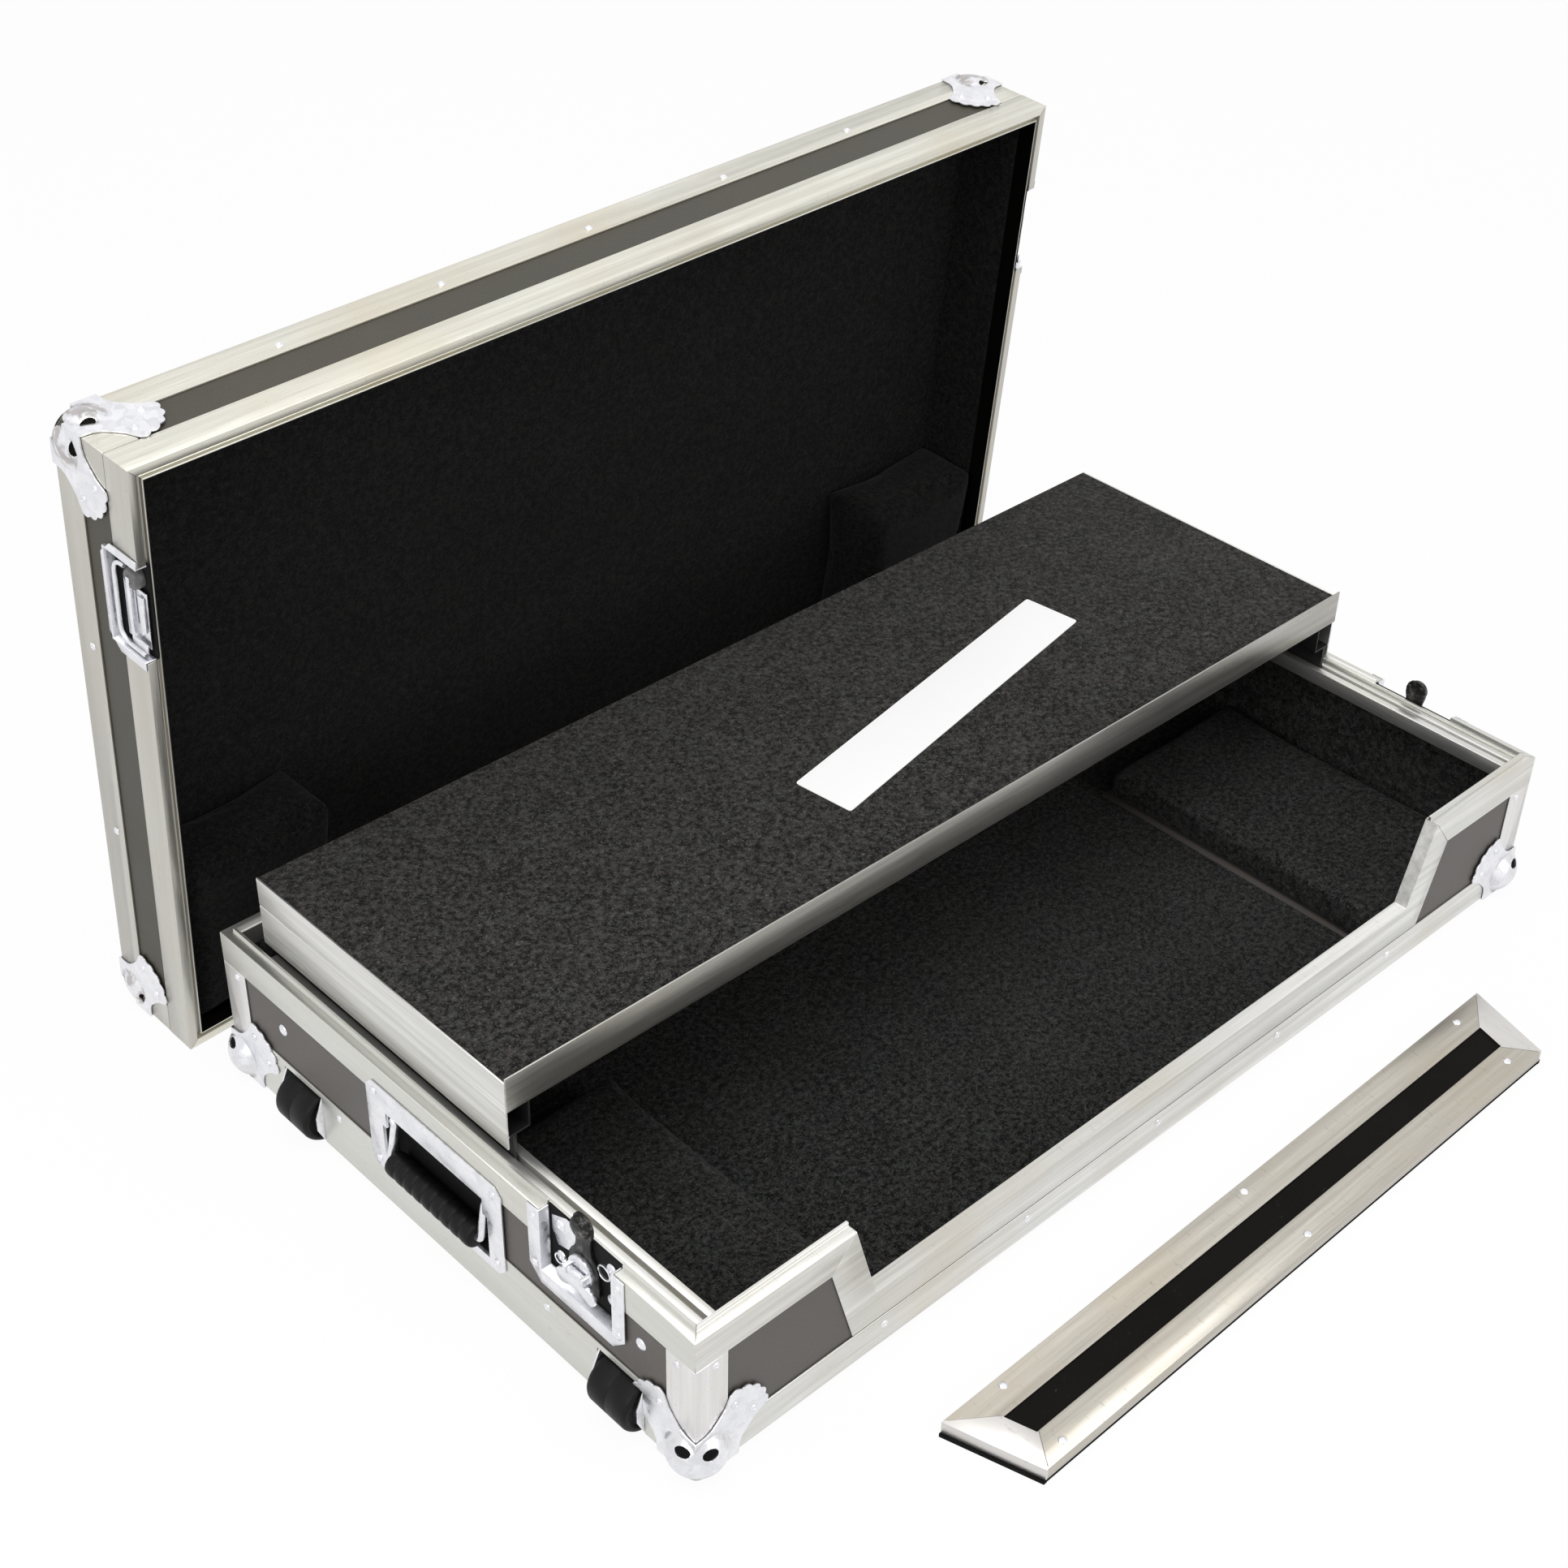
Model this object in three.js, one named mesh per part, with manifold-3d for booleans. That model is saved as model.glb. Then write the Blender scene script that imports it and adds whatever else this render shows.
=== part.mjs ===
// Flight case for a DJ controller, shown open: base tray with a sliding shelf, lift-off lid standing
// behind it on its rear side, and the removable front panel lying in front.
// Millimetres. +X runs along the width, +Y to the rear, +Z up.
import * as THREE from 'three';
import { mergeVertices } from 'three/addons/utils/BufferGeometryUtils.js';
import Module from 'manifold-3d';

const wasm = await Module();
wasm.setup();

// Driving dimensions of the shell
const CASE_WIDTH = 930;
const CASE_DEPTH = 532;
const BASE_HEIGHT = 131;
const LID_HEIGHT = 88;
const BOARD = 9;
const METAL = 1.2;
const FIT = 0.3;
const CARPET = 2.4;
const EDGING_LEG = 28;
const LEFT_EDGING_LEG = 50;
const RIM_OUTER_FLANGE = 27;
const RIM_INNER_FLANGE = 16;
const RIM_WEB = 3;
const TONGUE_WIDTH = 2.6;
const TONGUE_HEIGHT = 3.4;
const TONGUE_INSET = 7.4;
const TONGUE_CLEARANCE = 0.4;
const LID_RIM_WEB = 6;

// Ball corners
const BALL_RADIUS = 20;
const BALL_INSET = 14;
const BALL_FLAT = 0.4;
const BALL_SEGMENTS = 20;
const BALL_RINGS = 12;
const WING_REACH = 62;
const CORNER_CHAMFER = 16.5;

// Cut-out in the front wall, and the panel that fills it
const CUTOUT_TOP_INSET = 140;
const CUTOUT_BOTTOM_INSET = 162;
const SILL_HEIGHT = 57;
const CUTOUT_FLANGE = 28;
const CUTOUT_INNER_FLANGE = 14;
const PANEL_SEAL = 7;
const PANEL_SEAL_HEIGHT = 6;
const PANEL_END_CLEARANCE = 2;
const PANEL_SILL_CLEARANCE = 0.6;
const PANEL_TRIM_LEG = 25;
const PANEL_FOAM = 3;
const PANEL_FOAM_WIDTH = 16;

// Shelf and its rails
const SHELF_DEPTH = 290;
const SHELF_RISE = 67;
const SHELF_REAR_GAP = 40;
const SHELF_SIDE_INSET = 14.3;
const SHELF_LIP_RISE = 5;
const SHELF_LIP_HEIGHT = 30;
const SHELF_LIP_LEG = 25;
const RUNNER_HEIGHT = 50;
const RUNNER_WALL = 1.5;
const RUNNER_CHANNEL_WIDTH = 20;
const RUNNER_CHANNEL_HEIGHT = 25;
const RUNNER_LEDGE = 24;
const RUNNER_GROOVE = 0.8;
const RUNNER_LEG = 10;
const FIN_THICKNESS = 3;
const FIN_CLEARANCE = 0.5;
const RAIL_WIDTH = 17;
const RAIL_HEIGHT = 13.5;
const RAIL_SLOT_DEPTH = 9;
const RAIL_TOP_DROP = 2.5;
const RAIL_LENGTH = 472;

// Raised pads in the tray and foam blocks in the lid
const PAD_WIDTH = 167;
const PAD_RISE = 28.8;
const PAD_LENGTH = 290;
const BLOCK_WIDTH = 140;
const BLOCK_DEPTH = 150;
const BLOCK_RIM_INSET = 6;

// Latches
const LATCH_FROM_FRONT = 116;
const LATCH_DISH_WIDTH = 98;
const LATCH_DISH_HEIGHT = 68;
const LATCH_PAN_WIDTH = 73;
const LATCH_PAN_DEPTH = 8.2;
const LATCH_FLANGE_CHAMFER = 12;
const LATCH_AXIS_DROP = 30;
const LATCH_CAM_RADIUS = 12;
const LATCH_CAM_THICKNESS = 3.2;
const LATCH_LUG_WIDTH = 3;
const LATCH_LUG_HEIGHT = 6;
const LATCH_KNUCKLE = 14;
const WING_SPAN = 40;
const WING_HEIGHT = 18;
const WING_NECK = 5;
const WING_NOTCH = 6;
const WING_THICKNESS = 2.4;
const WING_PIN_RADIUS = 1.3;
const HOOK_WIDTH = 30;
const HOOK_THICKNESS = 2.4;
const HOOK_RISE = 19;
const HOOK_LIP = 5;
const HOOK_TRAVEL = 9;
const KEEPER_DISH_WIDTH = 90;
const KEEPER_PAN_WIDTH = 76;
const KEEPER_DISH_HEIGHT = 42;
const KEEPER_BAR_HEIGHT = 4;
const KEEPER_BAR_FROM_RIM = 14;

// Handles
const HANDLE_PLACE_SHARE = 0.3037;
const HANDLE_DISH_WIDTH = 154;
const HANDLE_DISH_HEIGHT = 84;
const HANDLE_DISH_DROP = 15;
const HANDLE_PAN_WIDTH = 120;
const HANDLE_PAN_HEIGHT = 54;
const HANDLE_PAN_RISE = 8;
const HANDLE_PAN_DEPTH = 10.2;
const HANDLE_PAN_TAPER = 3;
const HANDLE_FLANGE_CHAMFER = 7;
const HANDLE_PIVOT_DEPTH = 4;
const HANDLE_PIVOT_DROP = 9;
const BAIL_RADIUS = 3;
const BAIL_ARM = 33.5;
const BAIL_REST_SHARE = 0.057;
const BAIL_SIDES = 10;
const BAIL_END_CLEARANCE = 2;
const LUG_THICKNESS = 3;
const LUG_REACH = 5.5;
const GRIP_RADIUS = 10;
const GRIP_GROOVE = 1.4;
const GRIP_RIBS = 9;
const GRIP_SIDES = 14;
const GRIP_END_RADIUS = 8;

// Wheels
const WHEEL_RADIUS = 22;
const WHEEL_WIDTH = 40;
const WHEEL_EDGE_ROUND = 3;
const WHEEL_HUB_RADIUS = 11;
const WHEEL_HUB_DISH = 3;
const WHEEL_SIDES = 28;
const WHEEL_AXIS_INSET = 7;
const WHEEL_AXIS_HEIGHT = 19;
const FRONT_WHEEL_FROM_FRONT = 74;
const REAR_WHEEL_FROM_REAR = 94;
const AXLE_RADIUS = 4;
const HOUSING_WALL = 1.5;
const HOUSING_CLEARANCE = 2;
const CHEEK_PROUD = 6;

// Where the loose pieces stand
const LID_LEFT = -17.5;
const LID_BEHIND = 42;
const LID_YAW_SHARE = 0.0141;
const PANEL_CENTRE_X = 463;
const PANEL_IN_FRONT = 112;
const PANEL_YAW_SHARE = 0.0036;

// Values worked out from the driving dimensions
const SKIN = METAL + FIT;
const STANDOFF = BALL_RADIUS - BALL_INSET - BALL_FLAT;
const WALL_INNER = SKIN + BOARD;
const RIM_WIDTH = WALL_INNER + FIT + METAL;
const FLOOR_TOP = SKIN + BOARD;
const LINING_OUTER = WALL_INNER + FIT;
const LINING_INNER = LINING_OUTER + CARPET;
const TRAY_FLOOR = FLOOR_TOP + FIT + CARPET;
const RIM_SKIRT = BASE_HEIGHT - RIM_OUTER_FLANGE;
const LINING_TOP = BASE_HEIGHT - RIM_INNER_FLANGE - FIT;
const HANDLE_DISH_BOTTOM = BASE_HEIGHT - HANDLE_DISH_DROP - HANDLE_DISH_HEIGHT;
const LATCH_DISH_BOTTOM = BASE_HEIGHT - LATCH_DISH_HEIGHT;
const LATCH_AXIS_HEIGHT = BASE_HEIGHT - LATCH_AXIS_DROP;
const SHELF_TOP = BASE_HEIGHT + SHELF_RISE;
const REAR_WHEEL_FROM_FRONT = CASE_DEPTH - REAR_WHEEL_FROM_REAR;
const OVERRUN = 40;
const TURN = 2 * Math.PI;
const QUARTER = Math.PI / 2;

const model = new THREE.Group();

// Materials
const paint = (colour, roughness, metalness) =>
  new THREE.MeshStandardMaterial({ color: colour, roughness, metalness });
const aluminium = paint(0xc8c4b9, 0.38, 0.9);
const zinc = paint(0xd4d4d6, 0.25, 0.95);
const darkSteel = paint(0x4a4a48, 0.4, 0.8);
const laminate = paint(0x5a5652, 0.55, 0);
const carpet = paint(0x323030, 0.95, 0);
const rubber = paint(0x161616, 0.7, 0);
const foam = paint(0x141414, 0.9, 0);

// Solids: geometry in, geometry out, with manifold booleans between
function solid(geometry) {
  const bare = geometry.clone();
  bare.deleteAttribute('normal');
  bare.deleteAttribute('uv');
  const merged = mergeVertices(bare, FIT / 1000);
  return new wasm.Manifold(new wasm.Mesh({
    numProp: 3,
    vertProperties: new Float32Array(merged.attributes.position.array),
    triVerts: new Uint32Array(merged.index.array),
  }));
}

function skin(manifold) {
  const mesh = manifold.getMesh();
  const geometry = new THREE.BufferGeometry();
  geometry.setAttribute('position', new THREE.BufferAttribute(new Float32Array(mesh.vertProperties), 3));
  geometry.setIndex(new THREE.BufferAttribute(new Uint32Array(mesh.triVerts), 1));
  return geometry;
}

const join = (...parts) => skin(parts.map(solid).reduce((a, b) => a.add(b)));
const meet = (part, tool) => skin(solid(part).intersect(solid(tool)));
const cut = (part, ...tools) => skin(tools.map(solid).reduce((a, b) => a.subtract(b), solid(part)));

function block(x0, x1, y0, y1, z0, z1) {
  const box = new THREE.BoxGeometry(x1 - x0, y1 - y0, z1 - z0);
  return box.translate((x0 + x1) / 2, (y0 + y1) / 2, (z0 + z1) / 2);
}

// A prism whose outline lies in a plane: 'xy' rises along z, 'xz' runs along y, 'yz' runs along x
function prism(points, from, to, plane) {
  const shape = new THREE.Shape(points.map(([a, b]) => new THREE.Vector2(a, b)));
  const body = new THREE.ExtrudeGeometry(shape, { depth: to - from, bevelEnabled: false });
  if (plane === 'xy') return body.translate(0, 0, from);
  if (plane === 'xz') return body.rotateX(QUARTER).translate(0, to, 0);
  return body.rotateX(QUARTER).rotateZ(QUARTER).translate(from, 0, 0);
}

// Mirror a geometry across planes through the origin and keep its faces pointing out
function mirrored(geometry, sx, sy, sz) {
  const copy = (geometry.index ? geometry.clone() : mergeVertices(geometry)).scale(sx, sy, sz);
  if (sx * sy * sz < 0) {
    const index = copy.index.array;
    for (let i = 0; i < index.length; i += 3) [index[i], index[i + 1]] = [index[i + 1], index[i]];
  }
  return copy;
}

// The corners of a polygon moved inwards by a distance, edge by edge
function inset(corners, distance) {
  return corners.map((corner, i) => {
    const before = corners[(i + corners.length - 1) % corners.length];
    const after = corners[(i + 1) % corners.length];
    const a = new THREE.Vector2(corner[0] - before[0], corner[1] - before[1]).normalize();
    const b = new THREE.Vector2(after[0] - corner[0], after[1] - corner[1]).normalize();
    const normalA = new THREE.Vector2(-a.y, a.x);
    const normalB = new THREE.Vector2(-b.y, b.x);
    const reach = distance / (1 + normalA.dot(normalB));
    return [corner[0] + (normalA.x + normalB.x) * reach, corner[1] + (normalA.y + normalB.y) * reach];
  });
}

// A mitred frame: a closed profile of [inset, height] points swept round a polygon
function mitredFrame(corners, profile) {
  const positions = [];
  const index = [];
  const rings = profile.map(([distance, height]) => inset(corners, distance).map(([x, y]) => [x, y, height]));
  rings.forEach((ring) => ring.forEach((point) => positions.push(...point)));
  const count = corners.length;
  profile.forEach((_, p) => {
    const q = (p + 1) % profile.length;
    corners.forEach((__, c) => {
      const d = (c + 1) % count;
      index.push(p * count + c, q * count + d, p * count + d);
      index.push(p * count + c, q * count + c, q * count + d);
    });
  });
  const geometry = new THREE.BufferGeometry();
  geometry.setAttribute('position', new THREE.BufferAttribute(new Float32Array(positions), 3));
  geometry.setIndex(index);
  return geometry;
}

function rod(radius, length, sides) {
  return new THREE.CylinderGeometry(radius, radius, length, sides);
}

function place(group, name, geometry, material) {
  const indexed = geometry.index ? geometry : mergeVertices(geometry);
  const mesh = new THREE.Mesh(indexed, material);
  mesh.name = name;
  group.add(mesh);
  return mesh;
}

const footprint = [[0, 0], [CASE_WIDTH, 0], [CASE_WIDTH, CASE_DEPTH], [0, CASE_DEPTH]];
const mirrorX = (geometry) => mirrored(geometry, -1, 1, 1).translate(CASE_WIDTH, 0, 0);

// The four lower corners of a box, as mirror signs and places
const cornerPlaces = [
  ['front_left', 1, 1, 0, 0],
  ['front_right', -1, 1, CASE_WIDTH, 0],
  ['rear_right', -1, -1, CASE_WIDTH, CASE_DEPTH],
  ['rear_left', 1, -1, 0, CASE_DEPTH],
];

// The tip that the ball replaces: all that lies beyond a plane across the corner
function cornerTip() {
  const far = CORNER_CHAMFER + 2 * OVERRUN;
  const start = new THREE.Vector3(-OVERRUN, -OVERRUN, -OVERRUN);
  const points = [start, start.clone().setX(far), start.clone().setY(far), start.clone().setZ(far)];
  const geometry = new THREE.BufferGeometry().setFromPoints(points);
  geometry.setIndex([0, 2, 1, 0, 1, 3, 0, 3, 2, 1, 2, 3]);
  return geometry;
}

const tips = cornerPlaces.map(([, sx, sy, x, y]) => mirrored(cornerTip(), sx, sy, 1).translate(x, y, 0));

// Half the outline of a wing, as shares of its reach: a scalloped round that draws back from the edges
const wingShares = [
  [0.58, 0], [0.76, 0.15], [0.87, 0.35], [1, 0.51], [1, 0.6], [0.92, 0.67], [0.9, 0.78], [0.84, 0.86],
];

// Ball corner: three scalloped wings on the faces and the ball over the tip, worn flat where it stands
function ballCorner() {
  const outer = METAL + FIT;
  const half = wingShares.map(([along, across]) => [WING_REACH * along, WING_REACH * across - outer]);
  const other = half.slice(0, -1).reverse().map(([along, across]) => [across, along]);
  const scallop = [[-outer, -outer], ...half, ...other];
  const wings = [
    prism(scallop, -outer, -FIT, 'xy'),
    prism(scallop, -outer, -FIT, 'xz'),
    prism(scallop, -outer, -FIT, 'yz'),
  ];
  const ball = new THREE.SphereGeometry(BALL_RADIUS, BALL_SEGMENTS, BALL_RINGS).rotateX(QUARTER);
  ball.translate(BALL_INSET, BALL_INSET, BALL_INSET);
  const reach = BALL_INSET + BALL_RADIUS + OVERRUN;
  const worn = block(-STANDOFF, reach, -STANDOFF, reach, -STANDOFF, reach);
  const tip = cornerTip().translate(-FIT, -FIT, -FIT);
  const inside = cut(block(-FIT, reach, -FIT, reach, -FIT, reach), tip);
  return join(cut(join(...wings), tip), cut(meet(ball, worn), inside));
}

const ball = ballCorner();

// Rim profile of the base, and the one of the lid with the groove that takes the tongue
const rimProfile = [
  [0, RIM_SKIRT], [METAL, RIM_SKIRT], [METAL, BASE_HEIGHT - RIM_WEB], [RIM_WIDTH - METAL, BASE_HEIGHT - RIM_WEB],
  [RIM_WIDTH - METAL, BASE_HEIGHT - RIM_INNER_FLANGE], [RIM_WIDTH, BASE_HEIGHT - RIM_INNER_FLANGE],
  [RIM_WIDTH, BASE_HEIGHT], [TONGUE_INSET + TONGUE_WIDTH, BASE_HEIGHT],
  [TONGUE_INSET + TONGUE_WIDTH, BASE_HEIGHT + TONGUE_HEIGHT], [TONGUE_INSET, BASE_HEIGHT + TONGUE_HEIGHT],
  [TONGUE_INSET, BASE_HEIGHT], [0, BASE_HEIGHT],
];
const grooveOuter = TONGUE_INSET - TONGUE_CLEARANCE;
const grooveInner = TONGUE_INSET + TONGUE_WIDTH + TONGUE_CLEARANCE;
const grooveDepth = TONGUE_HEIGHT + TONGUE_CLEARANCE;
const lidRimProfile = [
  [0, 0], [grooveOuter, 0], [grooveOuter, grooveDepth], [grooveInner, grooveDepth], [grooveInner, 0],
  [RIM_WIDTH, 0], [RIM_WIDTH, RIM_INNER_FLANGE], [RIM_WIDTH - METAL, RIM_INNER_FLANGE],
  [RIM_WIDTH - METAL, LID_RIM_WEB], [METAL, LID_RIM_WEB], [METAL, RIM_OUTER_FLANGE], [0, RIM_OUTER_FLANGE],
];

// Cut-out: the opening's outline seen from the front, left half then right half
const openingTopLeft = [CUTOUT_TOP_INSET, BASE_HEIGHT];
const openingSillLeft = [CUTOUT_BOTTOM_INSET, SILL_HEIGHT];
const slope = (CUTOUT_BOTTOM_INSET - CUTOUT_TOP_INSET) / (BASE_HEIGHT - SILL_HEIGHT);
const slant = Math.hypot(1, slope);
const acrossX = (point) => [CASE_WIDTH - point[0], point[1]];

// A point on the line that lies a distance outside the slanted end, at a height
const endLine = (distance, height) =>
  [CUTOUT_TOP_INSET + (BASE_HEIGHT - height) * slope - distance * slant, height];

// The mitre where the rim meets the slanted trim
const mitreOuter = endLine(CUTOUT_FLANGE, RIM_SKIRT);
const mitrePoint = (share) => [
  openingTopLeft[0] + (mitreOuter[0] - openingTopLeft[0]) * share,
  openingTopLeft[1] + (mitreOuter[1] - openingTopLeft[1]) * share,
];
const sillPoint = (distance) => endLine(distance, SILL_HEIGHT - distance);

// The band of a width outside the opening's outline, mitred at the rim
function openingBand(width) {
  const left = [openingTopLeft, openingSillLeft];
  const outer = [sillPoint(width), mitrePoint(width / CUTOUT_FLANGE)];
  return [...left, ...left.map(acrossX).reverse(), ...outer.map(acrossX).reverse(), ...outer];
}

// The opening itself grown by a distance, open at the top
function openingGrown(distance) {
  const left = [endLine(distance, BASE_HEIGHT + OVERRUN), sillPoint(distance)];
  return [...left, ...left.map(acrossX).reverse()];
}

// Latch and handle places on a side wall
const latchPanHalf = LATCH_PAN_WIDTH / 2;
const latchFloor = SKIN + LATCH_PAN_DEPTH;
const latchPanBottom = LATCH_DISH_BOTTOM + (LATCH_DISH_WIDTH - LATCH_PAN_WIDTH) / 2;
const handlePanBottom = HANDLE_DISH_BOTTOM + HANDLE_PAN_RISE;
const handlePanTop = handlePanBottom + HANDLE_PAN_HEIGHT;
const handlePanHalf = HANDLE_PAN_WIDTH / 2;

// Space that a latch dish takes in the wall, the rim and the lining of the base
function latchSpace(depth) {
  const half = latchPanHalf + METAL + FIT;
  return block(-OVERRUN, depth, LATCH_FROM_FRONT - half, LATCH_FROM_FRONT + half,
    latchPanBottom - METAL - FIT, BASE_HEIGHT + OVERRUN);
}

function handleSpace() {
  const half = handlePanHalf + METAL + FIT;
  return block(-OVERRUN, HANDLE_PAN_DEPTH + FIT, handleFromFront - half, handleFromFront + half,
    handlePanBottom - METAL - FIT, handlePanTop + METAL + FIT);
}

// Space that a wheel housing takes at the lower left edge
const housingHalf = WHEEL_WIDTH / 2 + HOUSING_CLEARANCE + HOUSING_WALL;

// The handle lies between the latch and the rear wheel, with its share of the room in front of it
const latchRear = LATCH_FROM_FRONT + LATCH_DISH_WIDTH / 2;
const handleRoom = REAR_WHEEL_FROM_FRONT - housingHalf - latchRear - HANDLE_DISH_WIDTH;
const handleFromFront = latchRear + HANDLE_PLACE_SHARE * handleRoom + HANDLE_DISH_WIDTH / 2;
const housingTop = WHEEL_AXIS_HEIGHT + WHEEL_RADIUS + HOUSING_CLEARANCE + HOUSING_WALL;
const housingBack = WHEEL_AXIS_INSET + WHEEL_RADIUS + HOUSING_CLEARANCE + HOUSING_WALL;
function wheelSpace(fromFront) {
  return block(-OVERRUN, housingBack + FIT, fromFront - housingHalf - FIT, fromFront + housingHalf + FIT,
    -OVERRUN, housingTop + FIT);
}
const wheelSpaces = [wheelSpace(FRONT_WHEEL_FROM_FRONT), wheelSpace(REAR_WHEEL_FROM_FRONT)];
const rimDepth = latchFloor + FIT;
const sideSpaces = [latchSpace(Math.max(rimDepth, WALL_INNER + FIT / 2)), handleSpace()];

const base = new THREE.Group();
base.position.z = STANDOFF;
model.add(base);

// Boards of the base
function buildBaseBoards() {
  const wallTop = BASE_HEIGHT - RIM_WEB - FIT;
  const wallFoot = FLOOR_TOP + FIT;
  const farX = CASE_WIDTH - SKIN;
  const farY = CASE_DEPTH - SKIN;
  place(base, 'base_floor_board',
    cut(block(SKIN, farX, SKIN, farY, SKIN, FLOOR_TOP), ...tips, ...wheelSpaces), laminate);
  const opening = prism(openingGrown(SKIN), -OVERRUN, OVERRUN, 'xz');
  place(base, 'base_front_wall',
    cut(block(SKIN, farX, SKIN, WALL_INNER, wallFoot, wallTop), opening, ...tips), laminate);
  place(base, 'base_back_wall',
    cut(block(SKIN, farX, CASE_DEPTH - WALL_INNER, farY, wallFoot, wallTop), ...tips), laminate);
  const side = block(SKIN, WALL_INNER, WALL_INNER + FIT, CASE_DEPTH - WALL_INNER - FIT, wallFoot, wallTop);
  const walled = cut(side, ...sideSpaces);
  place(base, 'base_left_wall', cut(walled, ...wheelSpaces), laminate);
  place(base, 'base_right_wall', mirrorX(walled), laminate);
}

// Aluminium angles round the bottom and up the corners
function buildBaseEdging() {
  const legs = [[0, 0], [EDGING_LEG, 0], [EDGING_LEG, METAL], [METAL, METAL], [METAL, EDGING_LEG], [0, EDGING_LEG]];
  const ring = mitredFrame(footprint, legs);
  const wide = block(0, METAL, EDGING_LEG, CASE_DEPTH - EDGING_LEG, METAL, LEFT_EDGING_LEG);
  const corners = cornerPlaces.map(([, sx, sy, x, y]) => mirrored(
    block(-OVERRUN, EDGING_LEG + FIT, -OVERRUN, EDGING_LEG + FIT, METAL, BASE_HEIGHT), sx, sy, 1).translate(x, y, 0));
  const handles = [handleSpace(), mirrorX(handleSpace())];
  place(base, 'base_bottom_edging',
    cut(join(ring, wide), ...corners, ...tips, ...wheelSpaces, ...handles), aluminium);
  const angle = [[0, 0], [EDGING_LEG, 0], [EDGING_LEG, METAL], [METAL, METAL], [METAL, EDGING_LEG], [0, EDGING_LEG]];
  const upright = cut(prism(angle, METAL + FIT, RIM_SKIRT - FIT, 'xy'), cornerTip());
  cornerPlaces.forEach(([where, sx, sy, x, y]) => {
    place(base, `base_corner_angle_${where}`, mirrored(upright, sx, sy, 1).translate(x, y, 0), aluminium);
    const corner = mirrored(ball, sx, sy, 1).translate(x, y, 0);
    place(base, `base_ball_corner_${where}`, cut(corner, ...wheelSpaces), zinc);
  });
}

// Rim with its tongue, notched for the latches and mitred into the trim of the cut-out
function buildBaseRim() {
  const above = BASE_HEIGHT + OVERRUN;
  const left = [[openingTopLeft[0] - FIT, above], [openingTopLeft[0] - FIT, BASE_HEIGHT],
    [mitreOuter[0] - FIT, RIM_SKIRT], [mitreOuter[0] - FIT, RIM_SKIRT - OVERRUN]];
  const gap = prism([...left, ...left.map(acrossX).reverse()], -OVERRUN, OVERRUN, 'xz');
  const notch = latchSpace(rimDepth);
  place(base, 'base_rim', cut(mitredFrame(footprint, rimProfile), gap, notch, mirrorX(notch)), aluminium);
  const web = prism(openingBand(METAL), 0, RIM_WIDTH, 'xz');
  const outer = prism(openingBand(CUTOUT_FLANGE), 0, METAL, 'xz');
  const inner = prism(openingBand(CUTOUT_INNER_FLANGE), RIM_WIDTH - METAL, RIM_WIDTH, 'xz');
  place(base, 'front_cutout_trim', join(web, outer, inner), aluminium);
}

// Carpet lining and the raised pads beside the controller
function buildTrayLining() {
  const edge = LINING_OUTER;
  const shell = block(edge, CASE_WIDTH - edge, edge, CASE_DEPTH - edge, FLOOR_TOP + FIT, LINING_TOP);
  const hollow = block(LINING_INNER, CASE_WIDTH - LINING_INNER, LINING_INNER, CASE_DEPTH - LINING_INNER,
    TRAY_FLOOR, BASE_HEIGHT);
  const opening = prism(openingGrown(CUTOUT_INNER_FLANGE + FIT), -OVERRUN, OVERRUN, 'xz');
  const spaces = [...sideSpaces, ...sideSpaces.map(mirrorX), ...wheelSpaces];
  const padFrom = LINING_INNER + FIT;
  const padBlock = (gap, foot) => block(padFrom - gap, padFrom + PAD_WIDTH + gap, padFrom - gap,
    padFrom + PAD_LENGTH + gap, foot, TRAY_FLOOR + PAD_RISE);
  const pad = padBlock(0, FLOOR_TOP + FIT);
  const padSpace = padBlock(FIT, 0);
  place(base, 'tray_carpet', cut(shell, hollow, opening, padSpace, mirrorX(padSpace), ...spaces), carpet);
  place(base, 'left_tray_pad', cut(pad, handleSpace(), ...wheelSpaces), carpet);
  place(base, 'right_tray_pad', mirrorX(cut(pad, handleSpace())), carpet);
}

// Slotted guide rails along the side walls
const railOuter = RIM_WIDTH + FIT;
const railTop = BASE_HEIGHT - RAIL_TOP_DROP;
const finCentre = railOuter + RAIL_WIDTH / 2;
const slotHalf = FIN_THICKNESS / 2 + FIN_CLEARANCE;
function buildRails() {
  const from = RIM_WIDTH + FIT;
  const body = block(railOuter, railOuter + RAIL_WIDTH, from, from + RAIL_LENGTH, railTop - RAIL_HEIGHT, railTop);
  const slot = block(finCentre - slotHalf, finCentre + slotHalf, from - OVERRUN, CASE_DEPTH + OVERRUN,
    railTop - RAIL_SLOT_DEPTH, railTop + OVERRUN);
  const rail = cut(body, slot);
  place(base, 'left_guide_rail', rail, aluminium);
  place(base, 'right_guide_rail', mirrorX(rail), aluminium);
}

// A pan with sloping sides, open towards -x: rectangles given as [y0, y1, z0, z1] at two depths
function pan(x0, rect0, x1, rect1) {
  const ring = (x, [y0, y1, z0, z1]) => [[x, y0, z0], [x, y1, z0], [x, y1, z1], [x, y0, z1]];
  const points = [...ring(x0, rect0), ...ring(x1, rect1)].map((p) => new THREE.Vector3(...p));
  const geometry = new THREE.BufferGeometry().setFromPoints(points);
  const faces = [0, 3, 2, 0, 2, 1, 4, 5, 6, 4, 6, 7];
  for (let i = 0; i < 4; i += 1) {
    const j = (i + 1) % 4;
    faces.push(i, j, 4 + j, i, 4 + j, 4 + i);
  }
  geometry.setIndex(faces);
  return geometry;
}

const grown = ([y0, y1, z0, z1], by) => [y0 - by, y1 + by, z0 - by, z1 + by];

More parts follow.
